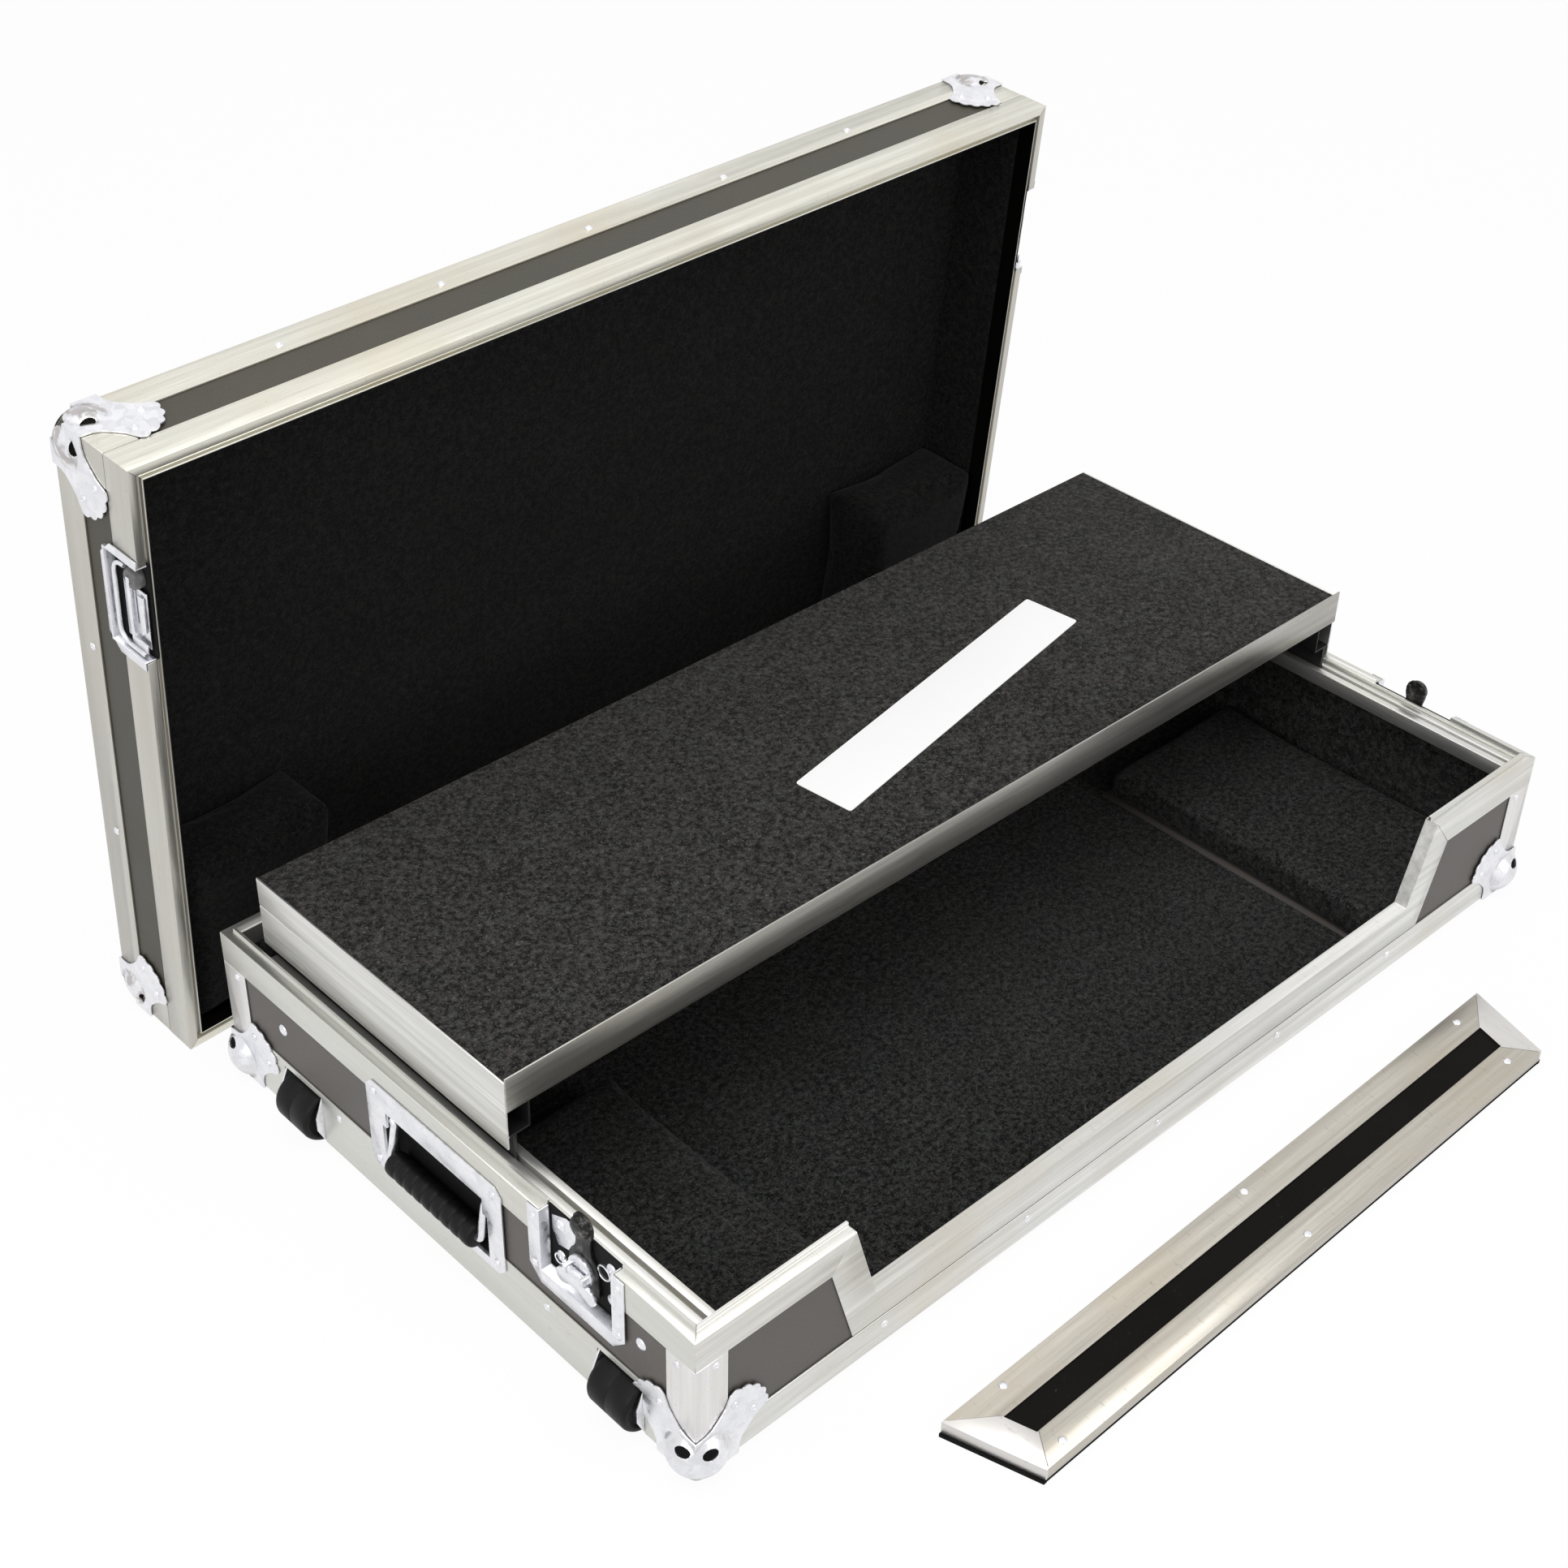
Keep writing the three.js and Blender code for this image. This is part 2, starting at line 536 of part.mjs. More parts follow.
// Pressed handle dish with a sloping pan and two lugs for the bail
function handleDish() {
  const outerFace = -METAL - FIT;
  const y0 = handleFromFront - HANDLE_DISH_WIDTH / 2;
  const y1 = handleFromFront + HANDLE_DISH_WIDTH / 2;
  const z0 = HANDLE_DISH_BOTTOM;
  const z1 = HANDLE_DISH_BOTTOM + HANDLE_DISH_HEIGHT;
  const c = HANDLE_FLANGE_CHAMFER;
  const outline = [[y0 + c, z0], [y1 - c, z0], [y1, z0 + c], [y1, z1 - c], [y1 - c, z1], [y0 + c, z1],
    [y0, z1 - c], [y0, z0 + c]];
  const mouth = [handleFromFront - handlePanHalf, handleFromFront + handlePanHalf, handlePanBottom, handlePanTop];
  const foot = grown(mouth, -HANDLE_PAN_TAPER);
  const outer = pan(outerFace, grown(mouth, METAL), HANDLE_PAN_DEPTH, grown(foot, METAL));
  const inner = pan(outerFace - OVERRUN, mouth, outerFace, mouth);
  const hollow = pan(outerFace - FIT, mouth, HANDLE_PAN_DEPTH - METAL, foot);
  const pivotZ = handlePanTop - HANDLE_PIVOT_DROP;
  const lugs = [-1, 1].map((side) => {
    const from = handlePanHalf - BAIL_END_CLEARANCE - LUG_THICKNESS;
    const near = handleFromFront + side * from;
    const far = handleFromFront + side * (handlePanHalf + METAL / 2);
    return block(HANDLE_PIVOT_DEPTH - LUG_REACH, HANDLE_PIVOT_DEPTH + LUG_REACH, Math.min(near, far),
      Math.max(near, far), pivotZ - LUG_REACH, handlePanTop + METAL / 2);
  });
  const bore = rod(BAIL_RADIUS + FIT, HANDLE_PAN_WIDTH - 2 * METAL, BAIL_SIDES);
  bore.translate(HANDLE_PIVOT_DEPTH, handleFromFront, pivotZ);
  const shell = cut(join(prism(outline, outerFace, -FIT, 'yz'), outer), inner, hollow);
  return cut(join(shell, ...lugs), bore);
}

// Bent steel bail: a pin at each end, two arms and the cross rod inside the grip
function bail() {
  const half = handlePanHalf - BAIL_END_CLEARANCE;
  const armY = half - LUG_THICKNESS - BAIL_RADIUS - FIT;
  const cross = rod(BAIL_RADIUS, 2 * armY + 2 * BAIL_RADIUS, BAIL_SIDES).translate(0, 0, -BAIL_ARM);
  const arms = [-1, 1].map((side) =>
    rod(BAIL_RADIUS, BAIL_ARM + 2 * BAIL_RADIUS, BAIL_SIDES).rotateX(QUARTER).translate(0, side * armY, -BAIL_ARM / 2));
  const pins = [-1, 1].map((side) => {
    const length = half - armY;
    return rod(BAIL_RADIUS, length, BAIL_SIDES).translate(0, side * (armY + length / 2), 0);
  });
  return { body: join(cross, ...arms, ...pins), armY };
}

// Ribbed rubber grip round the cross rod
function grip(armY) {
  const half = armY - BAIL_RADIUS - FIT;
  const bore = BAIL_RADIUS + FIT;
  const pitch = (2 * half) / GRIP_RIBS;
  const profile = [[bore, -half], [GRIP_END_RADIUS, -half]];
  for (let i = 0; i < GRIP_RIBS; i += 1) {
    const start = -half + i * pitch;
    profile.push([GRIP_RADIUS, start + pitch * 0.2], [GRIP_RADIUS, start + pitch * 0.8]);
    if (i < GRIP_RIBS - 1) profile.push([GRIP_RADIUS - GRIP_GROOVE, start + pitch]);
  }
  profile.push([GRIP_END_RADIUS, half], [bore, half], [bore, -half]);
  return lathe(profile, GRIP_SIDES);
}

// A ring turned about the y axis from a closed profile of [radius, along] points
function lathe(profile, sides) {
  const points = profile.map(([r, y]) => new THREE.Vector2(r, y));
  return new THREE.LatheGeometry(points, sides);
}

function buildHandles() {
  const dish = handleDish();
  place(base, 'left_handle_dish', dish, zinc);
  place(base, 'right_handle_dish', mirrorX(dish), zinc);
  const { body, armY } = bail();
  const pivotZ = handlePanTop - HANDLE_PIVOT_DROP;
  const ribbed = solidGeometry(grip(armY)).translate(0, 0, -BAIL_ARM);
  [['left', 1, HANDLE_PIVOT_DEPTH], ['right', -1, CASE_WIDTH - HANDLE_PIVOT_DEPTH]].forEach(([side, sx, x]) => {
    const swing = new THREE.Group();
    swing.position.set(x, handleFromFront, pivotZ);
    swing.rotation.y = sx * BAIL_REST_SHARE * Math.PI;
    base.add(swing);
    place(swing, `${side}_handle_bail`, body, zinc);
    place(swing, `${side}_handle_grip`, ribbed, rubber);
  });
}

// A lathe as a clean closed solid
function solidGeometry(geometry) {
  return skin(solid(geometry));
}

// Latch dish of the base: chamfered flange and a pan that is open at the rim
function latchDish() {
  const outerFace = -METAL - FIT;
  const half = LATCH_DISH_WIDTH / 2;
  const c = LATCH_FLANGE_CHAMFER;
  const y = LATCH_FROM_FRONT;
  const outline = [[y - half + c, LATCH_DISH_BOTTOM], [y + half - c, LATCH_DISH_BOTTOM],
    [y + half, LATCH_DISH_BOTTOM + c], [y + half, BASE_HEIGHT], [y - half, BASE_HEIGHT],
    [y - half, LATCH_DISH_BOTTOM + c]];
  const pressed = block(outerFace, latchFloor, y - latchPanHalf - METAL, y + latchPanHalf + METAL,
    latchPanBottom - METAL, BASE_HEIGHT);
  const hollow = block(outerFace - OVERRUN, latchFloor - METAL, y - latchPanHalf, y + latchPanHalf,
    latchPanBottom, BASE_HEIGHT + OVERRUN);
  return cut(join(prism(outline, outerFace, -FIT, 'yz'), pressed), hollow);
}

const hookBack = latchFloor - METAL - FIT;
const hookFront = hookBack - HOOK_THICKNESS;
const camBack = hookFront - FIT;
const camFront = camBack - LATCH_CAM_THICKNESS;

// Hook: a flat carriage behind the cam, rounded at the top, with a lip that turns outwards
function latchHook() {
  const half = HOOK_WIDTH / 2;
  const foot = latchPanBottom + HOOK_TRAVEL + FIT;
  const top = BASE_HEIGHT + HOOK_RISE;
  const round = half * 0.5;
  const outline = [[-half, foot], [half, foot], [half, top - round], [half - round * 0.4, top - round * 0.3],
    [half - round, top], [round - half, top], [round * 0.4 - half, top - round * 0.3], [-half, top - round]];
  const plate = prism(outline, hookFront, hookBack, 'yz');
  const lip = block(hookFront - HOOK_LIP, hookBack, -half * 0.6, half * 0.6, top - HOOK_THICKNESS, top);
  return join(plate, lip).translate(0, LATCH_FROM_FRONT, 0);
}

// Cam: a turning disc with an eccentric boss and the two lugs that carry the wing
function latchCam() {
  const disc = rod(LATCH_CAM_RADIUS, LATCH_CAM_THICKNESS, 20).rotateZ(QUARTER);
  disc.translate((camFront + camBack) / 2, 0, 0);
  const lugs = [-1, 1].map((side) => {
    const y = side * (LATCH_KNUCKLE / 2 + LATCH_LUG_WIDTH / 2 + FIT);
    return block(camFront - LATCH_LUG_HEIGHT, camFront + FIT, y - LATCH_LUG_WIDTH / 2, y + LATCH_LUG_WIDTH / 2,
      -LATCH_LUG_HEIGHT / 2, LATCH_LUG_HEIGHT / 2);
  });
  const pin = rod(WING_PIN_RADIUS, LATCH_KNUCKLE + 2 * LATCH_LUG_WIDTH, 10);
  pin.translate(camFront - LATCH_LUG_HEIGHT / 2, 0, 0);
  return join(disc, ...lugs, pin);
}

// Wing: a plate with two round lobes that hangs from the pin by its knuckle
function latchWing() {
  const lobe = (WING_HEIGHT - WING_NECK) / 2;
  const centre = WING_SPAN / 2 - lobe;
  const low = -WING_NECK - lobe;
  const neck = LATCH_KNUCKLE / 2;
  const steps = 6;
  const half = [[neck, -WING_NECK]];
  for (let i = 0; i <= steps; i += 1) {
    const angle = QUARTER - (Math.PI * i) / steps;
    half.push([centre + lobe * Math.cos(angle), low + lobe * Math.sin(angle)]);
  }
  half.push([0, WING_NOTCH - WING_HEIGHT]);
  const other = half.slice(0, -1).reverse().map(([y, z]) => [-y, z]);
  const outline = [[-neck, 0], [neck, 0], ...half, ...other].reverse();
  const leaf = prism(outline, -WING_THICKNESS / 2, WING_THICKNESS / 2, 'yz');
  const knuckle = rod(WING_PIN_RADIUS + METAL, LATCH_KNUCKLE, 12);
  const bore = rod(WING_PIN_RADIUS + FIT, WING_HEIGHT + OVERRUN, 10);
  return cut(join(leaf, knuckle), bore);
}

function buildLatches() {
  const dish = latchDish();
  const hook = latchHook();
  const cam = latchCam();
  const wing = latchWing();
  place(base, 'left_latch_dish', dish, zinc);
  place(base, 'right_latch_dish', mirrorX(dish), zinc);
  place(base, 'left_latch_hook', hook, darkSteel);
  place(base, 'right_latch_hook', mirrorX(hook), darkSteel);
  [['left', 1, 0], ['right', -1, CASE_WIDTH]].forEach(([side, sx, x]) => {
    const turn = new THREE.Group();
    turn.position.set(x, LATCH_FROM_FRONT, LATCH_AXIS_HEIGHT);
    base.add(turn);
    place(turn, `${side}_latch_cam`, mirrored(cam, sx, 1, 1), zinc);
    const fold = new THREE.Group();
    fold.position.x = sx * (camFront - LATCH_LUG_HEIGHT / 2);
    turn.add(fold);
    place(fold, `${side}_latch_wing`, wing, zinc);
  });
}

// Steel housing for a wheel: two cheeks, a top and a back, with the axle across
function wheelHousing(fromFront) {
  const inner = housingHalf - HOUSING_WALL;
  const y0 = fromFront - housingHalf;
  const y1 = fromFront + housingHalf;
  const shell = block(SKIN, housingBack, y0, y1, SKIN, housingTop);
  const hollow = block(-OVERRUN, housingBack - HOUSING_WALL, fromFront - inner, fromFront + inner,
    -OVERRUN, housingTop - HOUSING_WALL);
  const cheekOutline = [[-CHEEK_PROUD, WHEEL_AXIS_HEIGHT - AXLE_RADIUS], [0, METAL + FIT], [housingBack, METAL + FIT],
    [housingBack, housingTop], [SKIN, housingTop], [-CHEEK_PROUD, WHEEL_AXIS_HEIGHT + 2 * AXLE_RADIUS]];
  const cheeks = [[y0, y0 + HOUSING_WALL], [y1 - HOUSING_WALL, y1]].map(([from, to]) =>
    prism(cheekOutline, from, to, 'xz'));
  const axle = rod(AXLE_RADIUS, 2 * housingHalf, 14).translate(WHEEL_AXIS_INSET, fromFront, WHEEL_AXIS_HEIGHT);
  return join(cut(shell, hollow), ...cheeks, axle);
}

// Rubber wheel with rounded edges and dished hub faces
function wheel() {
  const half = WHEEL_WIDTH / 2;
  const round = WHEEL_EDGE_ROUND;
  const bore = AXLE_RADIUS + FIT;
  const side = [
    [bore, half - WHEEL_HUB_DISH], [WHEEL_HUB_RADIUS, half - WHEEL_HUB_DISH], [WHEEL_HUB_RADIUS + METAL, half],
    [WHEEL_RADIUS - round, half], [WHEEL_RADIUS - round * 0.3, half - round * 0.3], [WHEEL_RADIUS, half - round],
  ];
  const lower = side.map(([r, y]) => [r, -y]);
  return solidGeometry(lathe([...lower, ...side.slice().reverse(), lower[0]], WHEEL_SIDES));
}

function buildWheels() {
  const tyre = wheel();
  [['front', FRONT_WHEEL_FROM_FRONT], ['rear', REAR_WHEEL_FROM_FRONT]].forEach(([where, fromFront]) => {
    place(base, `${where}_wheel_housing`, wheelHousing(fromFront), zinc);
    const spin = new THREE.Group();
    spin.position.set(WHEEL_AXIS_INSET, fromFront, WHEEL_AXIS_HEIGHT);
    base.add(spin);
    place(spin, `${where}_wheel`, tyre, rubber);
  });
}

// Shelf: carpeted board on two extruded runners, with a raised lip in front
function buildShelf() {
  const rear = CASE_DEPTH - SHELF_REAR_GAP;
  const front = rear - SHELF_DEPTH;
  const left = SHELF_SIDE_INSET;
  const right = CASE_WIDTH - left;
  const boardTop = SHELF_TOP - CARPET - FIT;
  const boardFoot = boardTop - BOARD;
  const inner = left + RUNNER_WALL + FIT;
  const lipBack = front + METAL;
  place(base, 'shelf_board', block(inner, CASE_WIDTH - inner, lipBack + FIT, rear, boardFoot, boardTop), laminate);
  place(base, 'shelf_carpet',
    block(inner, CASE_WIDTH - inner, lipBack + FIT, rear, SHELF_TOP - CARPET, SHELF_TOP), carpet);
  const lipTop = SHELF_TOP + SHELF_LIP_RISE;
  const lipFoot = lipTop - SHELF_LIP_HEIGHT;
  const legTop = boardFoot - FIT;
  const face = block(left, right, front, lipBack, lipFoot, lipTop);
  const leg = block(inner, CASE_WIDTH - inner, front, front + SHELF_LIP_LEG, legTop - METAL, legTop);
  place(base, 'shelf_front_lip', join(face, leg), aluminium);
  const runnerFoot = SHELF_TOP - RUNNER_HEIGHT;
  const channelTop = runnerFoot + RUNNER_CHANNEL_HEIGHT;
  const ledgeTop = boardFoot - METAL - 2 * FIT;
  const wall = RUNNER_WALL;
  const groove = RUNNER_GROOVE;
  const finFoot = railTop - RAIL_SLOT_DEPTH + FIN_CLEARANCE;
  const finFrom = finCentre - FIN_THICKNESS / 2 - left;
  const outline = [
    [0, runnerFoot - RUNNER_LEG], [wall, runnerFoot - RUNNER_LEG], [wall, runnerFoot], [finFrom, runnerFoot],
    [finFrom, finFoot], [finFrom + FIN_THICKNESS, finFoot],
    [finFrom + FIN_THICKNESS, runnerFoot], [RUNNER_CHANNEL_WIDTH, runnerFoot], [RUNNER_CHANNEL_WIDTH, channelTop],
    [wall, channelTop], [wall, ledgeTop - wall], [RUNNER_LEDGE, ledgeTop - wall], [RUNNER_LEDGE, ledgeTop],
    [wall, ledgeTop], [wall, SHELF_TOP], [0, SHELF_TOP], [0, channelTop + groove], [groove, channelTop],
    [0, channelTop - groove],
  ];
  const tube = block(wall, RUNNER_CHANNEL_WIDTH - wall, front - OVERRUN, rear + OVERRUN,
    runnerFoot + wall, channelTop - wall);
  const runner = cut(prism(outline, lipBack + FIT, rear, 'xz'), tube).translate(left, 0, 0);
  place(base, 'left_shelf_runner', runner, aluminium);
  place(base, 'right_shelf_runner', mirrorX(runner), aluminium);
}

// Lid, modelled closed side down: z = 0 is the rim, z = LID_HEIGHT the outer panel
const lid = new THREE.Group();

function keeperSpace(depth) {
  const half = KEEPER_PAN_WIDTH / 2 + METAL + FIT;
  return block(-OVERRUN, depth, LATCH_FROM_FRONT - half, LATCH_FROM_FRONT + half,
    -OVERRUN, KEEPER_DISH_HEIGHT - METAL * 2 + FIT);
}

// Keeper dish of the lid: a half pan with the bar that the hook pulls on
function keeperDish() {
  const outerFace = -METAL - FIT;
  const half = KEEPER_DISH_WIDTH / 2;
  const c = LATCH_FLANGE_CHAMFER;
  const y = LATCH_FROM_FRONT;
  const top = KEEPER_DISH_HEIGHT;
  const outline = [[y - half, 0], [y + half, 0], [y + half, top - c], [y + half - c, top], [y - half + c, top],
    [y - half, top - c]];
  const panTop = top - METAL * 2;
  const panHalf = KEEPER_PAN_WIDTH / 2;
  const pressed = block(outerFace, latchFloor, y - panHalf - METAL, y + panHalf + METAL, 0, panTop);
  const hollow = block(outerFace - OVERRUN, latchFloor - METAL, y - panHalf, y + panHalf, -OVERRUN, panTop - METAL);
  const barHalf = HOOK_WIDTH * 0.8;
  const bar = block(hookFront - HOOK_LIP, latchFloor - METAL / 2, y - barHalf, y + barHalf,
    KEEPER_BAR_FROM_RIM, KEEPER_BAR_FROM_RIM + KEEPER_BAR_HEIGHT);
  const slotHalf = HOOK_WIDTH / 2 + FIT;
  const slot = block(hookFront - FIT * 2, latchFloor - METAL, y - slotHalf, y + slotHalf, 0, top);
  return join(cut(join(prism(outline, outerFace, -FIT, 'yz'), pressed), hollow), cut(bar, slot));
}

function buildLid() {
  const panelFoot = LID_HEIGHT - SKIN - BOARD;
  const farX = CASE_WIDTH - SKIN;
  const farY = CASE_DEPTH - SKIN;
  const upperTips = cornerPlaces.map(([, sx, sy, x, y]) =>
    mirrored(cornerTip(), sx, sy, -1).translate(x, y, LID_HEIGHT));
  place(lid, 'lid_top_panel', cut(block(SKIN, farX, SKIN, farY, panelFoot, LID_HEIGHT - SKIN), ...upperTips), laminate);
  const wallSpace = keeperSpace(Math.max(rimDepth, WALL_INNER + FIT / 2));
  const rimSpace = keeperSpace(rimDepth);
  const spaces = [wallSpace, mirrorX(wallSpace)];
  const wallProfile = [[SKIN, LID_RIM_WEB + FIT], [WALL_INNER, LID_RIM_WEB + FIT], [WALL_INNER, panelFoot - FIT],
    [SKIN, panelFoot - FIT]];
  place(lid, 'lid_wall_frame', cut(mitredFrame(footprint, wallProfile), ...spaces, ...upperTips), laminate);
  place(lid, 'lid_rim', cut(mitredFrame(footprint, lidRimProfile), rimSpace, mirrorX(rimSpace)), aluminium);
  const top = LID_HEIGHT;
  const legs = [[0, top - EDGING_LEG], [METAL, top - EDGING_LEG], [METAL, top - METAL], [EDGING_LEG, top - METAL],
    [EDGING_LEG, top], [0, top]];
  const angle = [[0, 0], [EDGING_LEG, 0], [EDGING_LEG, METAL], [METAL, METAL], [METAL, EDGING_LEG], [0, EDGING_LEG]];
  const uprights = cornerPlaces.map(([, sx, sy, x, y]) => mirrored(
    prism(angle, RIM_OUTER_FLANGE + FIT, top - METAL, 'xy'), sx, sy, 1).translate(x, y, 0));
  place(lid, 'lid_edging', cut(join(mitredFrame(footprint, legs), ...uprights), ...upperTips), aluminium);
  cornerPlaces.forEach(([where, sx, sy, x, y]) => {
    place(lid, `lid_ball_corner_${where}`, mirrored(ball, sx, sy, -1).translate(x, y, top), zinc);
  });
  const keeper = keeperDish();
  place(lid, 'left_keeper_dish', keeper, zinc);
  place(lid, 'right_keeper_dish', mirrorX(keeper), zinc);
  const ceiling = panelFoot - FIT;
  const shell = block(LINING_OUTER, CASE_WIDTH - LINING_OUTER, LINING_OUTER, CASE_DEPTH - LINING_OUTER,
    RIM_INNER_FLANGE + FIT, ceiling);
  const hollow = block(LINING_INNER, CASE_WIDTH - LINING_INNER, LINING_INNER, CASE_DEPTH - LINING_INNER,
    0, ceiling - CARPET);
  place(lid, 'lid_carpet', cut(shell, hollow, ...spaces), carpet);
  const from = LINING_INNER + FIT;
  const blockBody = block(from, from + BLOCK_WIDTH, CASE_DEPTH - from - BLOCK_DEPTH, CASE_DEPTH - from,
    BLOCK_RIM_INSET, ceiling - CARPET - FIT);
  place(lid, 'left_lid_block', blockBody, carpet);
  place(lid, 'right_lid_block', mirrorX(blockBody), carpet);
}

// The lid stands on its rear side, tipped forward until the rim touches the floor beside the balls
function standLid() {
  const tip = Math.atan2(BALL_RADIUS - BALL_INSET, LID_HEIGHT - BALL_INSET);
  const upended = new THREE.Group();
  upended.rotation.x = -QUARTER + tip;
  upended.add(lid);
  const turned = new THREE.Group();
  turned.rotation.z = LID_YAW_SHARE * Math.PI;
  turned.position.set(LID_LEFT, CASE_DEPTH + LID_BEHIND, 0);
  turned.add(upended);
  lid.position.y = -CASE_DEPTH;
  model.add(turned);
}

// Front panel, modelled lying outer face up
function buildFrontPanel() {
  const panel = new THREE.Group();
  const length = (height) => {
    const end = endLine(-(PANEL_SEAL + PANEL_END_CLEARANCE), height);
    return CASE_WIDTH / 2 - end[0];
  };
  const foot = SILL_HEIGHT + PANEL_SILL_CLEARANCE;
  const rise = BASE_HEIGHT - foot;
  const corners = [[-length(foot), 0], [length(foot), 0], [length(BASE_HEIGHT), rise], [-length(BASE_HEIGHT), rise]];
  const boardFoot = PANEL_FOAM + FIT;
  const boardTop = boardFoot + BOARD;
  const top = boardTop + FIT + METAL;
  const boardOutline = inset(corners, SKIN);
  place(panel, 'front_panel_board', prism(boardOutline, boardFoot, boardTop, 'xy'), laminate);
  const angle = [[0, boardFoot], [METAL, boardFoot], [METAL, boardTop + FIT], [PANEL_TRIM_LEG, boardTop + FIT],
    [PANEL_TRIM_LEG, top], [0, top]];
  place(panel, 'front_panel_trim', mitredFrame(corners, angle), aluminium);
  const backing = mitredFrame(inset(corners, FIT), [[0, 0], [PANEL_FOAM_WIDTH, 0], [PANEL_FOAM_WIDTH, PANEL_FOAM],
    [0, PANEL_FOAM]]);
  const ends = [-1, 1].map((side) => {
    const strip = [[length(foot) - METAL, 0], [length(foot) + PANEL_SEAL, 0],
      [length(BASE_HEIGHT) + PANEL_SEAL, rise], [length(BASE_HEIGHT) - METAL, rise]];
    return mirrored(prism(strip, 0, PANEL_SEAL_HEIGHT, 'xy'), side, 1, 1);
  });
  const clear = prism(inset(corners, -FIT), PANEL_FOAM, top + OVERRUN, 'xy');
  place(panel, 'front_panel_seal', cut(join(backing, ...ends), clear), foam);
  panel.rotation.z = PANEL_YAW_SHARE * Math.PI;
  panel.position.set(PANEL_CENTRE_X, -PANEL_IN_FRONT - rise / 2, 0);
  model.add(panel);
}

buildBaseBoards();
buildBaseEdging();
buildBaseRim();
buildTrayLining();
buildRails();
buildHandles();
buildLatches();
buildWheels();
buildShelf();
buildLid();
standLid();
buildFrontPanel();

// The origin is the middle of the whole part's footprint, on the floor
model.updateMatrixWorld(true);
const extent = new THREE.Box3().setFromObject(model, true);
const middle = extent.getCenter(new THREE.Vector3());
model.position.set(-middle.x, -middle.y, -extent.min.z);

export default model;
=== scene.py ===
import math
import bpy
from mathutils import Matrix, Vector


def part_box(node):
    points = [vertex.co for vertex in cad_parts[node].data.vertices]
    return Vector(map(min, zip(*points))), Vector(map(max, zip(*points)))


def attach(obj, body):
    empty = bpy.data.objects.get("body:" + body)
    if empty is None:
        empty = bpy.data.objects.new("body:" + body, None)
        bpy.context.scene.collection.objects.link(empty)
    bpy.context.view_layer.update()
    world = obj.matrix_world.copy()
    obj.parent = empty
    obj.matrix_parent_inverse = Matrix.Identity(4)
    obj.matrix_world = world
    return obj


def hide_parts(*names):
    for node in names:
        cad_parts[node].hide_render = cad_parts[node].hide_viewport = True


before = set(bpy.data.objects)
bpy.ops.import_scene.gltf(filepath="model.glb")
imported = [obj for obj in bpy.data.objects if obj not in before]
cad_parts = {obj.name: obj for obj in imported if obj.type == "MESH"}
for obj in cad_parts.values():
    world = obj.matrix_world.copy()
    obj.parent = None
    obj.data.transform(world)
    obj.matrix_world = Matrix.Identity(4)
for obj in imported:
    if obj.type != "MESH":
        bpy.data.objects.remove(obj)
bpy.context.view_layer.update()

MM = 0.001

# Places of the case, read from its parts, and the sizes of its shells
rim_low, rim_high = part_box("base_rim")
LEFT, FRONT = rim_low[0], rim_low[1]
WIDTH = rim_high[0] - rim_low[0]
DEPTH = rim_high[1] - rim_low[1]
SHELL_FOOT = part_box("base_bottom_edging")[0][2]
BASE_HEIGHT = 131 * MM
LID_HEIGHT = 88 * MM
SHELF_TOP = 198 * MM
METAL = 1.2 * MM
FIT = 0.3 * MM
PLATE = METAL + FIT
HALF_WIDTH, HALF_DEPTH = WIDTH / 2, DEPTH / 2

# The middles of the corner balls, from the shell's corners
BASE_BALL = (11.2 * MM, 11.2 * MM, 16.4 * MM)
LID_BALL = (16.4 * MM, 17.2 * MM, 16.4 * MM)

# The lid stands on its rear side, tipped forward and turned a little; the panel lies in front
LID_TIP = math.atan2(6, 74)
LID_YAW = math.pi * 0.0141
LID_FOOT = Vector((LEFT - 17.5 * MM, FRONT + 574 * MM, 0))
PANEL_YAW = math.pi * 0.0036
PANEL_FOOT = Vector((LEFT + 463 * MM, FRONT - 148.7 * MM, 0))
PANEL_TOP = 13.8 * MM

BASE_PLACE = Matrix.Translation((LEFT, FRONT, SHELL_FOOT))
LID_PLACE = (
    Matrix.Translation(LID_FOOT)
    @ Matrix.Rotation(LID_YAW, 4, "Z")
    @ Matrix.Rotation(LID_TIP - math.pi / 2, 4, "X")
    @ Matrix.Translation((0, -DEPTH, 0))
)
PANEL_PLACE = Matrix.Translation(PANEL_FOOT) @ Matrix.Rotation(PANEL_YAW, 4, "Z")
CORNERS = (
    ("front_left", 1, 1),
    ("front_right", -1, 1),
    ("rear_right", -1, -1),
    ("rear_left", 1, -1),
)

# Turns of flat forms onto the case's faces, and of forms on its left side to both sides
ON_FRONT = Matrix(((1, 0, 0, 0), (0, 0, 1, 0), (0, 1, 0, 0), (0, 0, 0, 1)))
ON_SIDE = Matrix(((0, 0, 1, 0), (1, 0, 0, 0), (0, 1, 0, 0), (0, 0, 0, 1)))
ACROSS = Matrix.Translation((WIDTH, 0, 0)) @ Matrix.Diagonal((-1, 1, 1, 1))
SIDES = (("left", Matrix.Identity(4)), ("right", ACROSS))

# Camera, where the photographer stood: above the front left corner
CAMERA_PLACE = (LEFT - 0.66165, FRONT - 0.75175, 1.30541)
CAMERA_TURNS = (53.5657, -1.092, -43.2085)
CAMERA_LENS = 55.958
CAMERA_SENSOR = 36
CAMERA_REACH = 50


